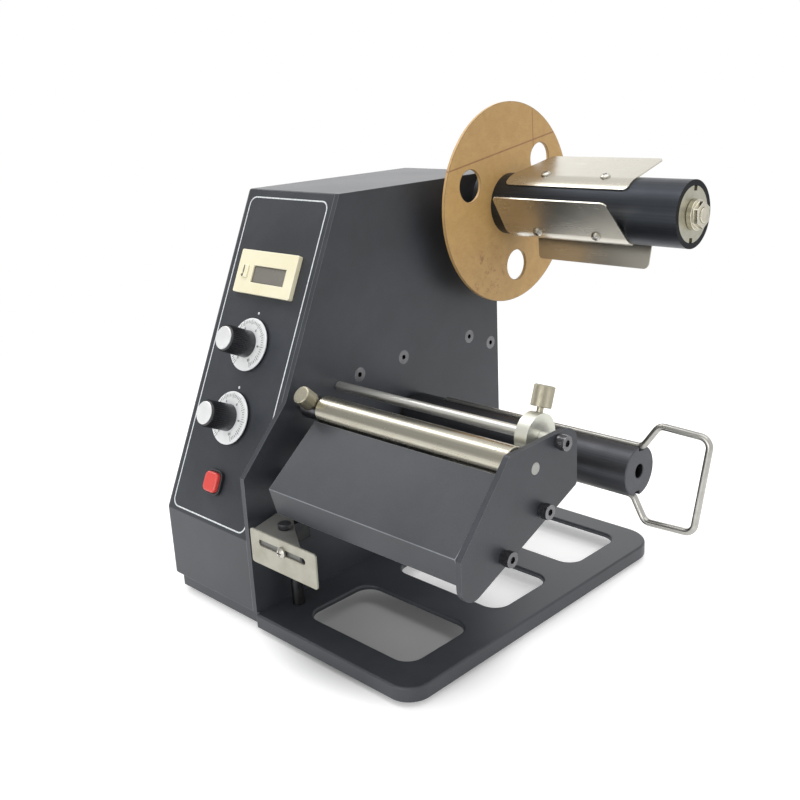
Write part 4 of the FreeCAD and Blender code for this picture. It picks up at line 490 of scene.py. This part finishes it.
# The display's liquid-crystal cells are 0.5 mm; behind the gloss of the window they only mottle its grey.
grey_display, tree, where = new_finish("grey_display_behind_window")
layer = add(tree, "ShaderNodeTexNoise", {"Vector": where, "Scale": 60.0})
cells = add(tree, "ShaderNodeTexBrick", {
    "Vector": where, "Scale": 900.0, "Mortar Size": 0.05, "Color1": "#797570", "Color2": "#75716a",
    "Mortar": "#6d6963"})
haze = add(tree, "ShaderNodeMapRange", {"Value": layer, "To Max": 0.8})
colour = add(tree, "ShaderNodeMix", {0: haze, 6: cells, 7: "#7f7b73"}, data_type="RGBA")
gloss = add(tree, "ShaderNodeMapRange", {"Value": layer, "To Min": 0.22, "To Max": 0.32})
closed(tree, colour, gloss, {"Coat Weight": 0.35, "Coat Roughness": 0.06})
eased("counter_window", "counter_display_window", 0.1, grey_display)
# Painted shade: a dark line round the display window stands for the shade in the gap round it.
printed_frame("display_gap_painted_shade", (-49.6, 131.72, -22.0, 141.12), 0.6, 0.6, dark_key_and_gap_shade, 2.02, 0.06)
for name, across, up_slope, radius, tall in (("reset_key_slot", -56.4, 138.2, 0.5, 5.2),
                                             ("reset_key_nub", -56.9, 134.9, 0.8, 1.0)):
    printed_dot(name, across, up_slope, radius, tall, dark_key_and_gap_shade, 3.81, 0.12, body="counter_reset")

# ---------- dials and knobs
# Spun aluminium skirts, lacquered, with printed graduations and plain numbers, under black phenolic knobs
# whose turned aluminium caps are pressed in. Spinning and facing leave fine rings round the centre.


def turned_metal(name, shade, dull, rough, centre, normal, metal=1.0):
    """Faced metal: rings of 0.35 mm round its axis, crossed by a faint cloud of handling."""
    made, tree, where = new_finish(name)
    away = add(tree, "ShaderNodeVectorMath", {0: where, 1: centre}, operation="SUBTRACT")
    along = add(tree, "ShaderNodeVectorMath", {0: away, 1: normal}, operation="DOT_PRODUCT")
    axial = add(tree, "ShaderNodeVectorMath", {0: normal, "Scale": along}, operation="SCALE")
    radial = add(tree, "ShaderNodeVectorMath", {0: away, 1: axial}, operation="SUBTRACT")
    reach = add(tree, "ShaderNodeVectorMath", {0: radial}, operation="LENGTH")
    order = add(tree, "ShaderNodeMath", {0: reach, 1: 3080.0}, operation="MULTIPLY")
    rings = add(tree, "ShaderNodeTexNoise", {"W": order, "Scale": 1.0, "Detail": 3.0}, noise_dimensions="1D")
    cloud = add(tree, "ShaderNodeTexNoise", {"Vector": where, "Scale": 160.0, "Detail": 4.0})
    ringed = add(tree, "ShaderNodeMapRange", {"Value": rings, "To Min": -0.3, "To Max": 0.5})
    handled = add(tree, "ShaderNodeMapRange", {"Value": cloud, "To Max": 0.7})
    amount = add(tree, "ShaderNodeMath", {0: ringed, 1: handled}, use_clamp=True)
    colour = add(tree, "ShaderNodeMix", {0: amount, 6: shade, 7: dull}, data_type="RGBA")
    gloss = add(tree, "ShaderNodeMapRange", {"Value": cloud, "To Min": rough - 0.06, "To Max": rough + 0.08})
    closed(tree, colour, gloss, {"Metallic": metal}, rings, 0.25, 0.00008)
    return made


black_phenolic = moulded("black_phenolic_moulding", "#1f2024", "#292a2f", 0.36, coat=0.2)
dial_ink = moulded("black_dial_ink", "#2a2b2c", "#3a3b3b", 0.5)

dial, mark = new_pattern("dial_graduations", {
    "Marks": "Int", "Sweep": "Float", "Inner Radius": "Float", "Length": "Float", "Width": "Float",
    "Finish": "Material"})
row = add(dial, "GeometryNodeMeshLine", {"Count": mark["Marks"]}, mode="OFFSET")
order = add(dial, "GeometryNodeInputIndex")
last = add(dial, "ShaderNodeMath", {0: mark["Marks"], 1: 1.0}, operation="SUBTRACT")
share = add(dial, "ShaderNodeMath", {0: order, 1: last}, operation="DIVIDE")
from_top = add(dial, "ShaderNodeMath", {0: share, 1: 0.5}, operation="SUBTRACT")
angle = add(dial, "ShaderNodeMath", {0: from_top, 1: mark["Sweep"]}, operation="MULTIPLY")
half_length = add(dial, "ShaderNodeMath", {0: mark["Length"], 1: 0.5}, operation="MULTIPLY")
reach = add(dial, "ShaderNodeMath", {0: mark["Inner Radius"], 1: half_length})
sine = add(dial, "ShaderNodeMath", {0: angle}, operation="SINE")
cosine = add(dial, "ShaderNodeMath", {0: angle}, operation="COSINE")
x_place = add(dial, "ShaderNodeMath", {0: sine, 1: reach}, operation="MULTIPLY")
y_place = add(dial, "ShaderNodeMath", {0: cosine, 1: reach}, operation="MULTIPLY")
spot = add(dial, "ShaderNodeCombineXYZ", {"X": x_place, "Y": y_place})
spread = add(dial, "GeometryNodeSetPosition", {"Geometry": row, "Position": spot})
ink_thick = 0.00006
stroke_size = add(dial, "ShaderNodeCombineXYZ", {"X": mark["Width"], "Y": mark["Length"], "Z": ink_thick})
stroke = add(dial, "GeometryNodeMeshCube", {"Size": stroke_size})
in_five = add(dial, "ShaderNodeMath", {0: order, 1: 5.0}, operation="MODULO")
is_long = add(dial, "ShaderNodeMath", {0: in_five, 1: 0.5}, operation="LESS_THAN")
extra = add(dial, "ShaderNodeMath", {0: is_long, 1: 0.45}, operation="MULTIPLY")
length_share = add(dial, "ShaderNodeMath", {0: 0.55, 1: extra})
tick_scale = add(dial, "ShaderNodeCombineXYZ", {"X": 1.0, "Y": length_share, "Z": 1.0})
clockwise = add(dial, "ShaderNodeMath", {0: angle, 1: -1.0}, operation="MULTIPLY")
tick_turn = add(dial, "ShaderNodeCombineXYZ", {"Z": clockwise})
ticks = add(dial, "GeometryNodeInstanceOnPoints", {
    "Points": spread, "Instance": stroke, "Scale": tick_scale, "Rotation": tick_turn})
drawn = add(dial, "GeometryNodeRealizeInstances", {"Geometry": ticks})
placed(dial, mark["Points"], drawn, mark["Finish"])

fluting, flute = new_pattern("ridges_round_a_grip", {
    "Ridges": "Int", "Radius": "Float", "Length": "Float", "Ridge Width": "Float", "Finish": "Material"})
ring = add(fluting, "GeometryNodeMeshCircle", {"Vertices": flute["Ridges"], "Radius": flute["Radius"]})
spot = add(fluting, "GeometryNodeInputPosition")
outward = add(fluting, "FunctionNodeAlignRotationToVector", {"Vector": spot}, axis="X")
ridge_size = add(fluting, "ShaderNodeCombineXYZ", {
    "X": flute["Ridge Width"], "Y": flute["Ridge Width"], "Z": flute["Length"]})
ridge = add(fluting, "GeometryNodeMeshCube", {"Size": ridge_size})
ridge = add(fluting, "GeometryNodeTransform", {"Geometry": ridge, "Rotation": (0.0, 0.0, math.pi / 4)})
ridges = add(fluting, "GeometryNodeInstanceOnPoints", {
    "Points": ring, "Instance": ridge, "Rotation": outward})
raised = add(fluting, "GeometryNodeRealizeInstances", {"Geometry": ridges})
placed(fluting, flute["Points"], raised, flute["Finish"])


def panel_spin(profile):
    """Points and faces of a profile turned about a line square to the panel, closed on that line."""
    steps, count = 64, len(profile)
    points, faces = [], []
    for step in range(steps):
        turn = 2 * math.pi * step / steps
        points += [(radius * math.cos(turn), radius * math.sin(turn), out) for radius, out in profile]
        here, after = step * count, (step + 1) % steps * count
        faces += [(here + index, here + index + 1, after + index + 1, after + index)
                  for index in range(count - 1)]
    return points, faces


dials_across = -38.8
skirt_face, grip_middle = 3.0, 11.0
sweep = math.radians(300)
cap_profile = [(0, 18.6), (5.95, 18.6), (6.1, 18.75), (6.1, 19.15), (5.85, 19.4), (5.3, 19.45), (5.0, 19.3),
               (0, 19.25)]
numeral_reach = 9.3
lay = Matrix((Vector((1, 0, 0)), Vector((0, math.sin(tilt), math.cos(tilt))), Vector(panel_out))).transposed()
for setting, up_slope in (("length", 98.5), ("speed", 57.9)):
    body = setting + "_setting"
    middle = on_panel(dials_across, up_slope)
    spun = turned_metal(f"spun_aluminium_{setting}_skirt", "#f4f6f6", "#e2e4e4", 0.42, middle, panel_out, 0.2)
    faced = turned_metal(f"faced_aluminium_{setting}_cap", "#f2f3f3", "#dcdddc", 0.32, middle, panel_out, 0.3)
    eased(setting + "_dial", setting + "_dial_skirt", 0.2, spun, body=body)
    eased(setting + "_knob", setting + "_knob_grip", 0.35, black_phenolic, body=body, steps=3)
    baked(dial, setting + "_dial_marks", [(on_panel(dials_across, up_slope, skirt_face), panel_out)], {
        "Marks": 51, "Sweep": sweep, "Inner Radius": 0.0108, "Length": 0.0029, "Width": 0.0002,
        "Finish": dial_ink}, body)
    baked(fluting, setting + "_knob_ridges", [(on_panel(dials_across, up_slope, grip_middle), panel_out)], {
        "Ridges": 40, "Radius": 0.00705, "Length": 0.0135, "Ridge Width": 0.00042,
        "Finish": black_phenolic}, body)
    points, faces = panel_spin(cap_profile)
    solid_mesh(setting + "_knob_cap", [on_panel(dials_across + x, up_slope + y, out) for x, y, out in points],
               faces, faced, body)
    for value in range(0, 11, 2):
        turn = sweep * (value / 10 - 0.5)
        curve = bpy.data.curves.new(f"{setting}_numeral_{value}", "FONT")
        curve.body = str(value)
        curve.size = 0.0021
        curve.extrude = 0.00003
        curve.align_x = "CENTER"
        curve.align_y = "CENTER"
        written = in_scene(curve.name, curve)
        bpy.context.view_layer.update()
        mesh = bpy.data.meshes.new_from_object(written)
        bpy.data.objects.remove(written)
        mesh.name = curve.name
        seat = on_panel(dials_across + numeral_reach * math.sin(turn),
                        up_slope + numeral_reach * math.cos(turn), skirt_face + 0.05)
        mesh.transform(Matrix.Translation(seat) @ lay.to_4x4() @ Matrix.Rotation(-turn, 4, "Z"))
        mesh.materials.clear()
        mesh.materials.append(dial_ink)
        numeral = in_scene(curve.name, mesh)
        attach(numeral, body)

# ---------- indicator lamp
# Snap-in neon indicator: a black nylon bezel and a red polycarbonate lens with rounded corners. The lens is
# moulded with small prisms inside, so it looks cloudy; a faint emission paints a glow in it.
prism_red, tree, where = new_finish("red_polycarbonate_lens_prismed")
prisms = add(tree, "ShaderNodeTexVoronoi", {"Vector": where, "Scale": 900.0}, distance="CHEBYCHEV")
depth = add(tree, "ShaderNodeTexNoise", {"Vector": where, "Scale": 220.0, "Detail": 3.0})
facets = add(tree, "ShaderNodeMapRange", {"Value": prisms, "To Max": 0.5})
clouded = add(tree, "ShaderNodeMapRange", {"Value": depth, "To Max": 0.5})
amount = add(tree, "ShaderNodeMath", {0: facets, 1: clouded})
colour = add(tree, "ShaderNodeMix", {0: amount, 6: "#d24a42", 7: "#c23d38"}, data_type="RGBA")
gloss = add(tree, "ShaderNodeMapRange", {"Value": depth, "To Min": 0.28, "To Max": 0.4})
# Painted glow: the lens emits a little of its own colour.
closed(tree, colour, gloss, {
    "IOR": 1.58, "Emission Color": colour, "Emission Strength": 0.12, "Subsurface Weight": 0.25,
    "Subsurface Radius": (0.004, 0.001, 0.001), "Subsurface Scale": 1.0}, prisms, 0.15, 0.0002)
black_nylon = moulded("black_nylon_bezel", "#1e1f22", "#2b2c2f", 0.42)
eased("lamp_bezel", "lamp_bezel_moulding", 0.4, black_nylon, steps=3)
eased("lamp_lens", "lamp_lens_moulding", 0.5, prism_red, steps=3)

# ---------- label rollers and rods
# The peel side carries a drawn steel roller on a fixed axle, a polished guide rod and a liner rod, tied by
# two rods between the plates. Drawing and polishing leave streaks along them and a warm, almost chrome gloss.


def ground_metal(name, shade, dull, rough, along=(0.006, 1.0, 1.0), scale=1300.0, strength=0.1):
    """Drawn or ground bar: streaks 0.8 mm apart across the lay, running far along it, and faint clouds."""
    made, tree, where = new_finish(name)
    lay = add(tree, "ShaderNodeVectorMath", {0: where, 1: along}, operation="MULTIPLY")
    streak = add(tree, "ShaderNodeTexNoise", {"Vector": lay, "Scale": scale, "Detail": 3.0})
    cloud = add(tree, "ShaderNodeTexNoise", {"Vector": where, "Scale": 70.0, "Detail": 5.0})
    streaked = add(tree, "ShaderNodeMapRange", {"Value": streak, "To Min": -0.25, "To Max": 0.6})
    clouded = add(tree, "ShaderNodeMapRange", {"Value": cloud, "To Max": 0.6})
    amount = add(tree, "ShaderNodeMath", {0: streaked, 1: clouded}, use_clamp=True)
    colour = add(tree, "ShaderNodeMix", {0: amount, 6: shade, 7: dull}, data_type="RGBA")
    gloss = uneven(tree, cloud, rough - 0.05, rough + 0.07, streak, -0.03, 0.04)
    closed(tree, colour, gloss, {"Metallic": 1.0}, streak, strength, 0.00005)
    return made


drawn_tube = ground_metal("drawn_chromed_steel_tube", "#cac6b8", "#a8a392", 0.25, along=(0.004, 1.0, 1.0),
                          scale=700.0, strength=0.12)
polished_rod = ground_metal("polished_steel_rod", "#f0efea", "#dad9d3", 0.38)
dull_rod = ground_metal("drawn_steel_rod", "#a6a6a3", "#86857f", 0.3)
eased("guide_roller", "guide_roller_tube", 0.4, drawn_tube, body="roller")
eased("guide_rod", "guide_rod_polished", 0.3, polished_rod)
eased("liner_rod", "liner_rod_drawn", 0.3, dull_rod)
eased("tie_rods", "tie_rods_black", 0.3, black_oxide)
eased("roller_axle", "roller_axle_drawn", 0.3, dull_rod)

# ---------- socket screws
# M3 cap screws with washers hold the rods between the plates, and countersunk M4 ones the stays, flush with
# the main plate. They are black nickel plated and rubbed bright on the round edge of a knurled head; that
# bright edge is also a painted highlight.
screw_nickel = plated("satin_nickel_on_screws", "#c9c7c0", "#a4a198", 0.28)
black_nickel = plated("black_nickel_on_screws", "#78787b", "#5a5a5d", 0.26)
# The bright edge colour is partly wear and partly a painted rim highlight.
rubbed_and_highlit_nickel = plated("black_nickel_rubbed_bright_and_painted_highlight", "#dcdcd9", "#b3b3b0", 0.24)
eased("cap_screws", "cap_screws_plated", 0.3, black_nickel, edge=rubbed_and_highlit_nickel)

sunk, flat = new_pattern("countersunk_socket_screw", {
    "Head Radius": "Float", "Shank Radius": "Float", "Shank Length": "Float", "Socket Radius": "Float",
    "Finish": "Material"})
taper = add(sunk, "ShaderNodeMath", {0: flat["Head Radius"], 1: flat["Shank Radius"]}, operation="SUBTRACT")
below_face = add(sunk, "ShaderNodeMath", {0: taper, 1: -1.0}, operation="MULTIPLY")
cone = add(sunk, "GeometryNodeMeshCone", {
    "Vertices": 48, "Radius Top": flat["Head Radius"], "Radius Bottom": flat["Shank Radius"], "Depth": taper})
shank_middle = add(sunk, "ShaderNodeMath", {0: flat["Shank Length"], 1: -0.52}, operation="MULTIPLY")
shank = add(sunk, "GeometryNodeMeshCylinder", {
    "Vertices": 24, "Radius": flat["Shank Radius"], "Depth": flat["Shank Length"]})
key_hole = add(sunk, "GeometryNodeMeshCylinder", {
    "Vertices": 6, "Radius": flat["Socket Radius"], "Depth": flat["Head Radius"]})
solids = [lifted(sunk, cone, below_face), lifted(sunk, shank, shank_middle)]
placed(sunk, flat["Points"], cut_from(sunk, solids, [key_hole]), flat["Finish"])
baked(sunk, "main_plate_screws_m4", [(mm(0, y, z), (1, 0, 0)) for y, z in stay_places], {
    "Head Radius": 0.0039, "Shank Radius": 0.002, "Shank Length": 0.0118, "Socket Radius": 0.0015,
    "Finish": black_nickel}, replaces="main_plate_screws")

side_plate_face, washer, half_head = 143.5, 1.2, 1.9
rod_ends = ((28.2, 66.5), (54.8, 79.2), (67.5, 107.5))
knurl_spots = [(mm(side_plate_face + washer + half_head, y, z), (1, 0, 0)) for y, z in rod_ends]
baked(fluting, "cap_screw_knurls", knurl_spots, {
    "Ridges": 34, "Radius": 0.00345, "Length": 0.0028, "Ridge Width": 0.00028, "Finish": black_nickel})

# ---------- collar, guide ring and thumbscrews
# A steel collar keeps the roller in place and an aluminium ring guides the label's edge; each is clamped by
# a knurled thumbscrew in satin nickel. The ring is turned, so its faces show rings round the rod.
satin_nickel = ground_metal("satin_nickel_turned", "#bab5a2", "#969180", 0.34, along=(1.0, 1.0, 0.02))
ring_middle = mm(130, 67.5, 107.5)
ring_face = turned_metal("turned_aluminium_ring", "#efefe4", "#d6d7cb", 0.36, ring_middle, (1, 0, 0), 0.8)
collar_steel = ground_metal("turned_collar_steel", "#77767a", "#57565b", 0.3, along=(1.0, 0.01, 0.01))
eased("left_collar", "roller_collar_turned", 0.4, collar_steel)
eased("collar_thumbscrew", "collar_thumbscrew_turned", 0.4, satin_nickel,
      body="collar_screw")
eased("guide_ring", "guide_ring_turned", 0.35, ring_face, body="label_guide")
eased("ring_thumbscrew", "ring_thumbscrew_turned", 0.3, satin_nickel,
      body="label_guide_screw")
for name, centre, lean, near_end, far_end, body in (
        ("ring_thumbscrew_knurl", (130.6, 67.5, 107.5), -20, 13.4, 22.7, "label_guide_screw"),
        ("collar_thumbscrew_knurl", (14.2, 40.5, 104.9), 47, 6.8, 14.6, "collar_screw")):
    facing = Vector((0, -math.sin(math.radians(lean)), math.cos(math.radians(lean))))
    spot = mm(*centre) + facing * (near_end + far_end) / 2000
    baked(fluting, name, [(spot, facing)], {
        "Ridges": 56, "Radius": 0.0047, "Length": (far_end - near_end) / 1000, "Ridge Width": 0.0002,
        "Finish": satin_nickel}, body)

# ---------- take-up roller and wire clip
# Black anodised aluminium bar with two long grooves for the clip, driven by the worm gear motor. The clip
# is 3.4 mm spring-steel wire, drawn to a satin grey, that pins the start of the liner into the grooves.
black_anodised = ground_metal("black_anodised_aluminium", "#5a5b5f", "#46474b", 0.42)
satin_wire = ground_metal("satin_drawn_wire", "#bab9b3", "#979590", 0.27, along=(0.05, 0.3, 0.3))
eased("take_up_roller", "take_up_roller_anodised", 0.4, black_anodised,
      body="take_up")
dress(satin_wire, "wire_clip")
dress(black_oxide, "take_up_shaft")

# ---------- supply disc
# Tempered hardboard 2 mm thick, sawn round and lacquered, with three finger holes. Its face is pressed from
# fibres 2 to 4 mm long; two scribed lines from setting out still show, and a few glue stains near the rim.
spindle = (196, 190.2)
disc_middle = mm(16, *spindle)


def stroke_mask(tree, offset, start, end, half_width, clip=None):
    """1 on a scribed line, else 0; its ends are in millimetres from the disc's middle."""
    run = (Vector(end) - Vector(start)).normalized()
    gap = add(tree, "ShaderNodeVectorMath", {0: offset, 1: (0.0, start[0] / 1000, start[1] / 1000)},
              operation="SUBTRACT")
    off_line = add(tree, "ShaderNodeVectorMath", {0: gap, 1: (0.0, -run[1], run[0])}, operation="DOT_PRODUCT")
    size = add(tree, "ShaderNodeMath", {0: off_line}, operation="ABSOLUTE")
    mask = add(tree, "ShaderNodeMapRange", {
        "Value": size, "From Min": half_width / 2000, "From Max": half_width / 1000, "To Min": 1.0,
        "To Max": 0.0})
    if clip:
        height = add(tree, "ShaderNodeSeparateXYZ", {0: offset}).outputs["Z"]
        above = add(tree, "ShaderNodeMath", {0: height, 1: clip / 1000}, operation="GREATER_THAN")
        mask = add(tree, "ShaderNodeMath", {0: mask, 1: above}, operation="MULTIPLY")
    return mask


def hardboard(name, shade, fibre, dark, rough, lines=True):
    """Pressed fibre board: mottled at 9 mm, fibres drawn 0.5 mm wide, which is as fine as they show."""
    made, tree, where = new_finish(name)
    offset = add(tree, "ShaderNodeVectorMath", {0: where, 1: disc_middle}, operation="SUBTRACT")
    mottle = add(tree, "ShaderNodeTexNoise", {
        "Vector": where, "Scale": 110.0, "Detail": 6.0, "Roughness": 0.65, "Distortion": 0.6})
    strands = []
    for lean in (0.4, 2.0):
        laid = add(tree, "ShaderNodeMapping", {
            "Vector": where, "Rotation": (lean, 0.0, 0.0), "Scale": (1.0, 0.22, 1.0)})
        strands.append(add(tree, "ShaderNodeTexNoise", {
            "Vector": laid, "Scale": 1600.0, "Distortion": 0.8}))
    strand = add(tree, "ShaderNodeMath", {0: strands[0], 1: strands[1]}, operation="MAXIMUM")
    layers = [(add(tree, "ShaderNodeMapRange", {"Value": mottle, "From Min": 0.3, "From Max": 0.7}), fibre),
              (add(tree, "ShaderNodeMapRange", {
                  "Value": strand, "From Min": 0.55, "From Max": 0.8, "To Max": 0.55}), dark)]
    if lines:
        long_line = stroke_mask(tree, offset, (-45.5, 24.0), (43.3, 37.9), 0.55)
        short_line = stroke_mask(tree, offset, (21.8, 53.6), (22.9, 27.8), 0.42, clip=27.8)
        scribed = add(tree, "ShaderNodeMath", {0: long_line, 1: short_line}, operation="MAXIMUM")
        rubbed = add(tree, "ShaderNodeTexNoise", {"Vector": where, "Scale": 400.0})
        rubbed = add(tree, "ShaderNodeMapRange", {"Value": rubbed, "To Min": 0.5, "To Max": 0.95})
        scribed = add(tree, "ShaderNodeMath", {0: scribed, 1: rubbed}, operation="MULTIPLY")
        from_stain = add(tree, "ShaderNodeVectorMath", {0: offset, 1: (0.0, -0.0217, -0.0391)},
                         operation="DISTANCE")
        near = add(tree, "ShaderNodeMapRange", {
            "Value": from_stain, "From Min": 0.010, "From Max": 0.021, "To Min": 1.0, "To Max": 0.0})
        spots = add(tree, "ShaderNodeTexNoise", {
            "Vector": where, "Scale": 210.0, "Detail": 4.0, "Roughness": 0.7})
        spots = add(tree, "ShaderNodeMapRange", {
            "Value": spots, "From Min": 0.54, "From Max": 0.66, "To Max": 0.75})
        stained = add(tree, "ShaderNodeMath", {0: spots, 1: near}, operation="MULTIPLY")
        layers += [(scribed, "#8a5636"), (stained, "#8d5c38")]
    colour = shade
    for amount, over in layers:
        colour = add(tree, "ShaderNodeMix", {0: amount, 6: colour, 7: over}, data_type="RGBA")
    gloss = add(tree, "ShaderNodeMapRange", {"Value": mottle, "To Min": rough - 0.08, "To Max": rough + 0.1})
    closed(tree, colour, gloss, {"Coat Weight": 0.12, "Coat Roughness": 0.35}, strand, 0.22, 0.0001)
    return made


lacquered_board = hardboard("lacquered_hardboard", "#cba569", "#be975d", "#b08750", 0.42)
sawn_edge = hardboard("sawn_hardboard_edge", "#a88a5f", "#8b7050", "#6f583c", 0.6, lines=False)
eased("roll_disc", "supply_disc_board", 0.35, lacquered_board, body="supply_spindle",
      edge=sawn_edge)
# The hub behind the finger holes is drawn dark grey.
dark_grey_hub = turned_metal("dark_grey_turned_hub", "#4c4d50", "#3d3e41", 0.45, disc_middle, (1, 0, 0))
dress(dark_grey_hub, "disc_hub")

# ---------- mandrel, end plate and spring leaves
# Black anodised tube with a machined end plate held by a thin nut on a washer. Three leaves of polished
# stainless strip, 0.8 mm, wrap a little round the tube and spring out to grip the core of the roll.
black_tube = ground_metal("black_anodised_tube", "#484b50", "#35383d", 0.42, strength=0.12)
end_face = turned_metal("machined_end_plate", "#bdbbae", "#94927f", 0.34, mm(134, *spindle), (1, 0, 0))
nut_plating = ground_metal("bright_nickel_nut", "#d8d4c6", "#a39d8a", 0.16, along=(1.0, 0.2, 0.2))
spring_steel = ground_metal("polished_spring_stainless", "#cac6ba", "#c0bbae", 0.24, along=(0.02, 1.0, 1.0),
                            strength=0.015)
sawn_tube = ground_metal("black_anodised_sawn_end", "#26282b", "#1b1c1f", 0.5, along=(1.0, 1.0, 1.0))
tube = eased("mandrel_tube", "mandrel_tube_anodised", 0.35, black_tube,
             body="supply_spindle", edge=sawn_tube)
for face in tube.data.polygons:
    if face.normal.x > 0.99:
        face.material_index = 1
eased("end_plate", "mandrel_end_plate", 0.3, end_face, body="supply_spindle")
eased("spindle_nut", "spindle_nut_and_washer", 0.35, nut_plating, steps=3)
eased("spindle_axle", "spindle_axle_drawn", 0.4, nut_plating)
eased("spring_leaves", "spring_leaves_polished", 0.15, spring_steel, body="supply_spindle")
leaf_face = 0.01835
leaf_spots = []
for degrees in (105, 225, 345):
    turn = math.radians(degrees)
    facing = Vector((0, math.cos(turn), math.sin(turn)))
    leaf_spots += [(mm(x, *spindle) + facing * leaf_face, facing) for x in (45.5, 84.5)]
baked(cross, "leaf_screws_m3", leaf_spots, {
    "Head Radius": 0.0027, "Head Height": 0.0016, "Shank Radius": 0.0015, "Shank Length": 0.0038,
    "Finish": screw_nickel}, "supply_spindle", "leaf_screws")
dress(screw_nickel, "spindle_bearings")

# ---------- label sensor
# A gap sensor on a steel post: clamp block, bent bracket and a slotted slide with its screw. The slide is
# nickel plated and bead blasted, pale and almost matt; the bracket is painted grey.
blasted_nickel = plated("bead_blasted_nickel", "#a8a69a", "#979485", 0.42, grain=1500.0, metal=0.65)
grey_paint = powder_coat("grey_paint_on_bracket", "#666664", "#75746f", 0.42)
eased("sensor_bracket", "sensor_bracket_painted", 0.2, grey_paint, edge=edge_coat_thinned_and_highlit)
eased("sensor_clamp", "sensor_clamp_block", 0.5, black_oxide, steps=3)
eased("sensor_post", "sensor_post_black", 0.4, black_oxide)
eased("sensor_plate", "sensor_slide_plate", 0.25, blasted_nickel, body="sensor_slide")
eased("sensor_eye", "sensor_eye_cap", 0.6, black_nylon, steps=3)
baked(cross, "sensor_slide_screw", [(mm(32.2, -4.45, 46.6), (0, -1, 0))], {
    "Head Radius": 0.0028, "Head Height": 0.002, "Shank Radius": 0.0014, "Shank Length": 0.0024,
    "Finish": screw_nickel}, replaces="sensor_screw")

# ---------- feet, mains inlet and rocker switch
# Moulded rubber feet under the pan; in the back wall a snap-in mains inlet with three blades and a rocker
# switch, both in black plastic.
foot_rubber = moulded("black_foot_rubber", "#1d1d1e", "#2a2928", 0.7, texture=1400.0, depth=0.0001)
socket_nylon = moulded("black_inlet_moulding", "#1b1c1e", "#27282a", 0.4)
rocker_abs = moulded("black_rocker_polished", "#17181a", "#232426", 0.24, coat=0.3)
eased("rubber_feet", "rubber_feet_moulded", 0.4, foot_rubber)
eased("power_inlet", "power_inlet_moulding", 0.3, socket_nylon)
eased("switch_housing", "switch_housing_moulding", 0.25, socket_nylon)
eased("rocker", "rocker_key", 0.4, rocker_abs, body="mains_rocker", steps=3)

# ---------- drive and electronics in the cabinet
# A worm gear motor turns the take-up roller; a small board, two potentiometers and a transformer run it.
# They are finished as bought parts are: zinc die casting, varnished iron, green solder resist, bronze.
die_cast = plated("die_cast_zinc", "#9d9ea0", "#83847f", 0.48, grain=900.0, metal=0.85)
varnished_iron = plated("varnished_laminations", "#4c4d50", "#3c3b3a", 0.4, grain=2400.0, metal=0.6)
oiled_bronze = ground_metal("oiled_sintered_bronze", "#a9803f", "#84602e", 0.4, along=(1.0, 1.0, 1.0))
solder_resist, tree, where = new_finish("green_solder_resist")
tracks = add(tree, "ShaderNodeTexBrick", {
    "Vector": where, "Scale": 160.0, "Mortar Size": 0.03, "Color1": "#1f5c38", "Color2": "#246842",
    "Mortar": "#3b8058"})
resist = add(tree, "ShaderNodeTexNoise", {"Vector": where, "Scale": 300.0, "Detail": 3.0})
gloss = add(tree, "ShaderNodeMapRange", {"Value": resist, "To Min": 0.25, "To Max": 0.4})
closed(tree, tracks, gloss, {"Coat Weight": 0.3})
dress(die_cast, "worm_gearbox", "drive_motor", "spindle_block", "potentiometers", "length_shaft",
      "speed_shaft")
dress(varnished_iron, "transformer_core")
dress(oiled_bronze, "take_up_bush")
dress(solder_resist, "control_board")
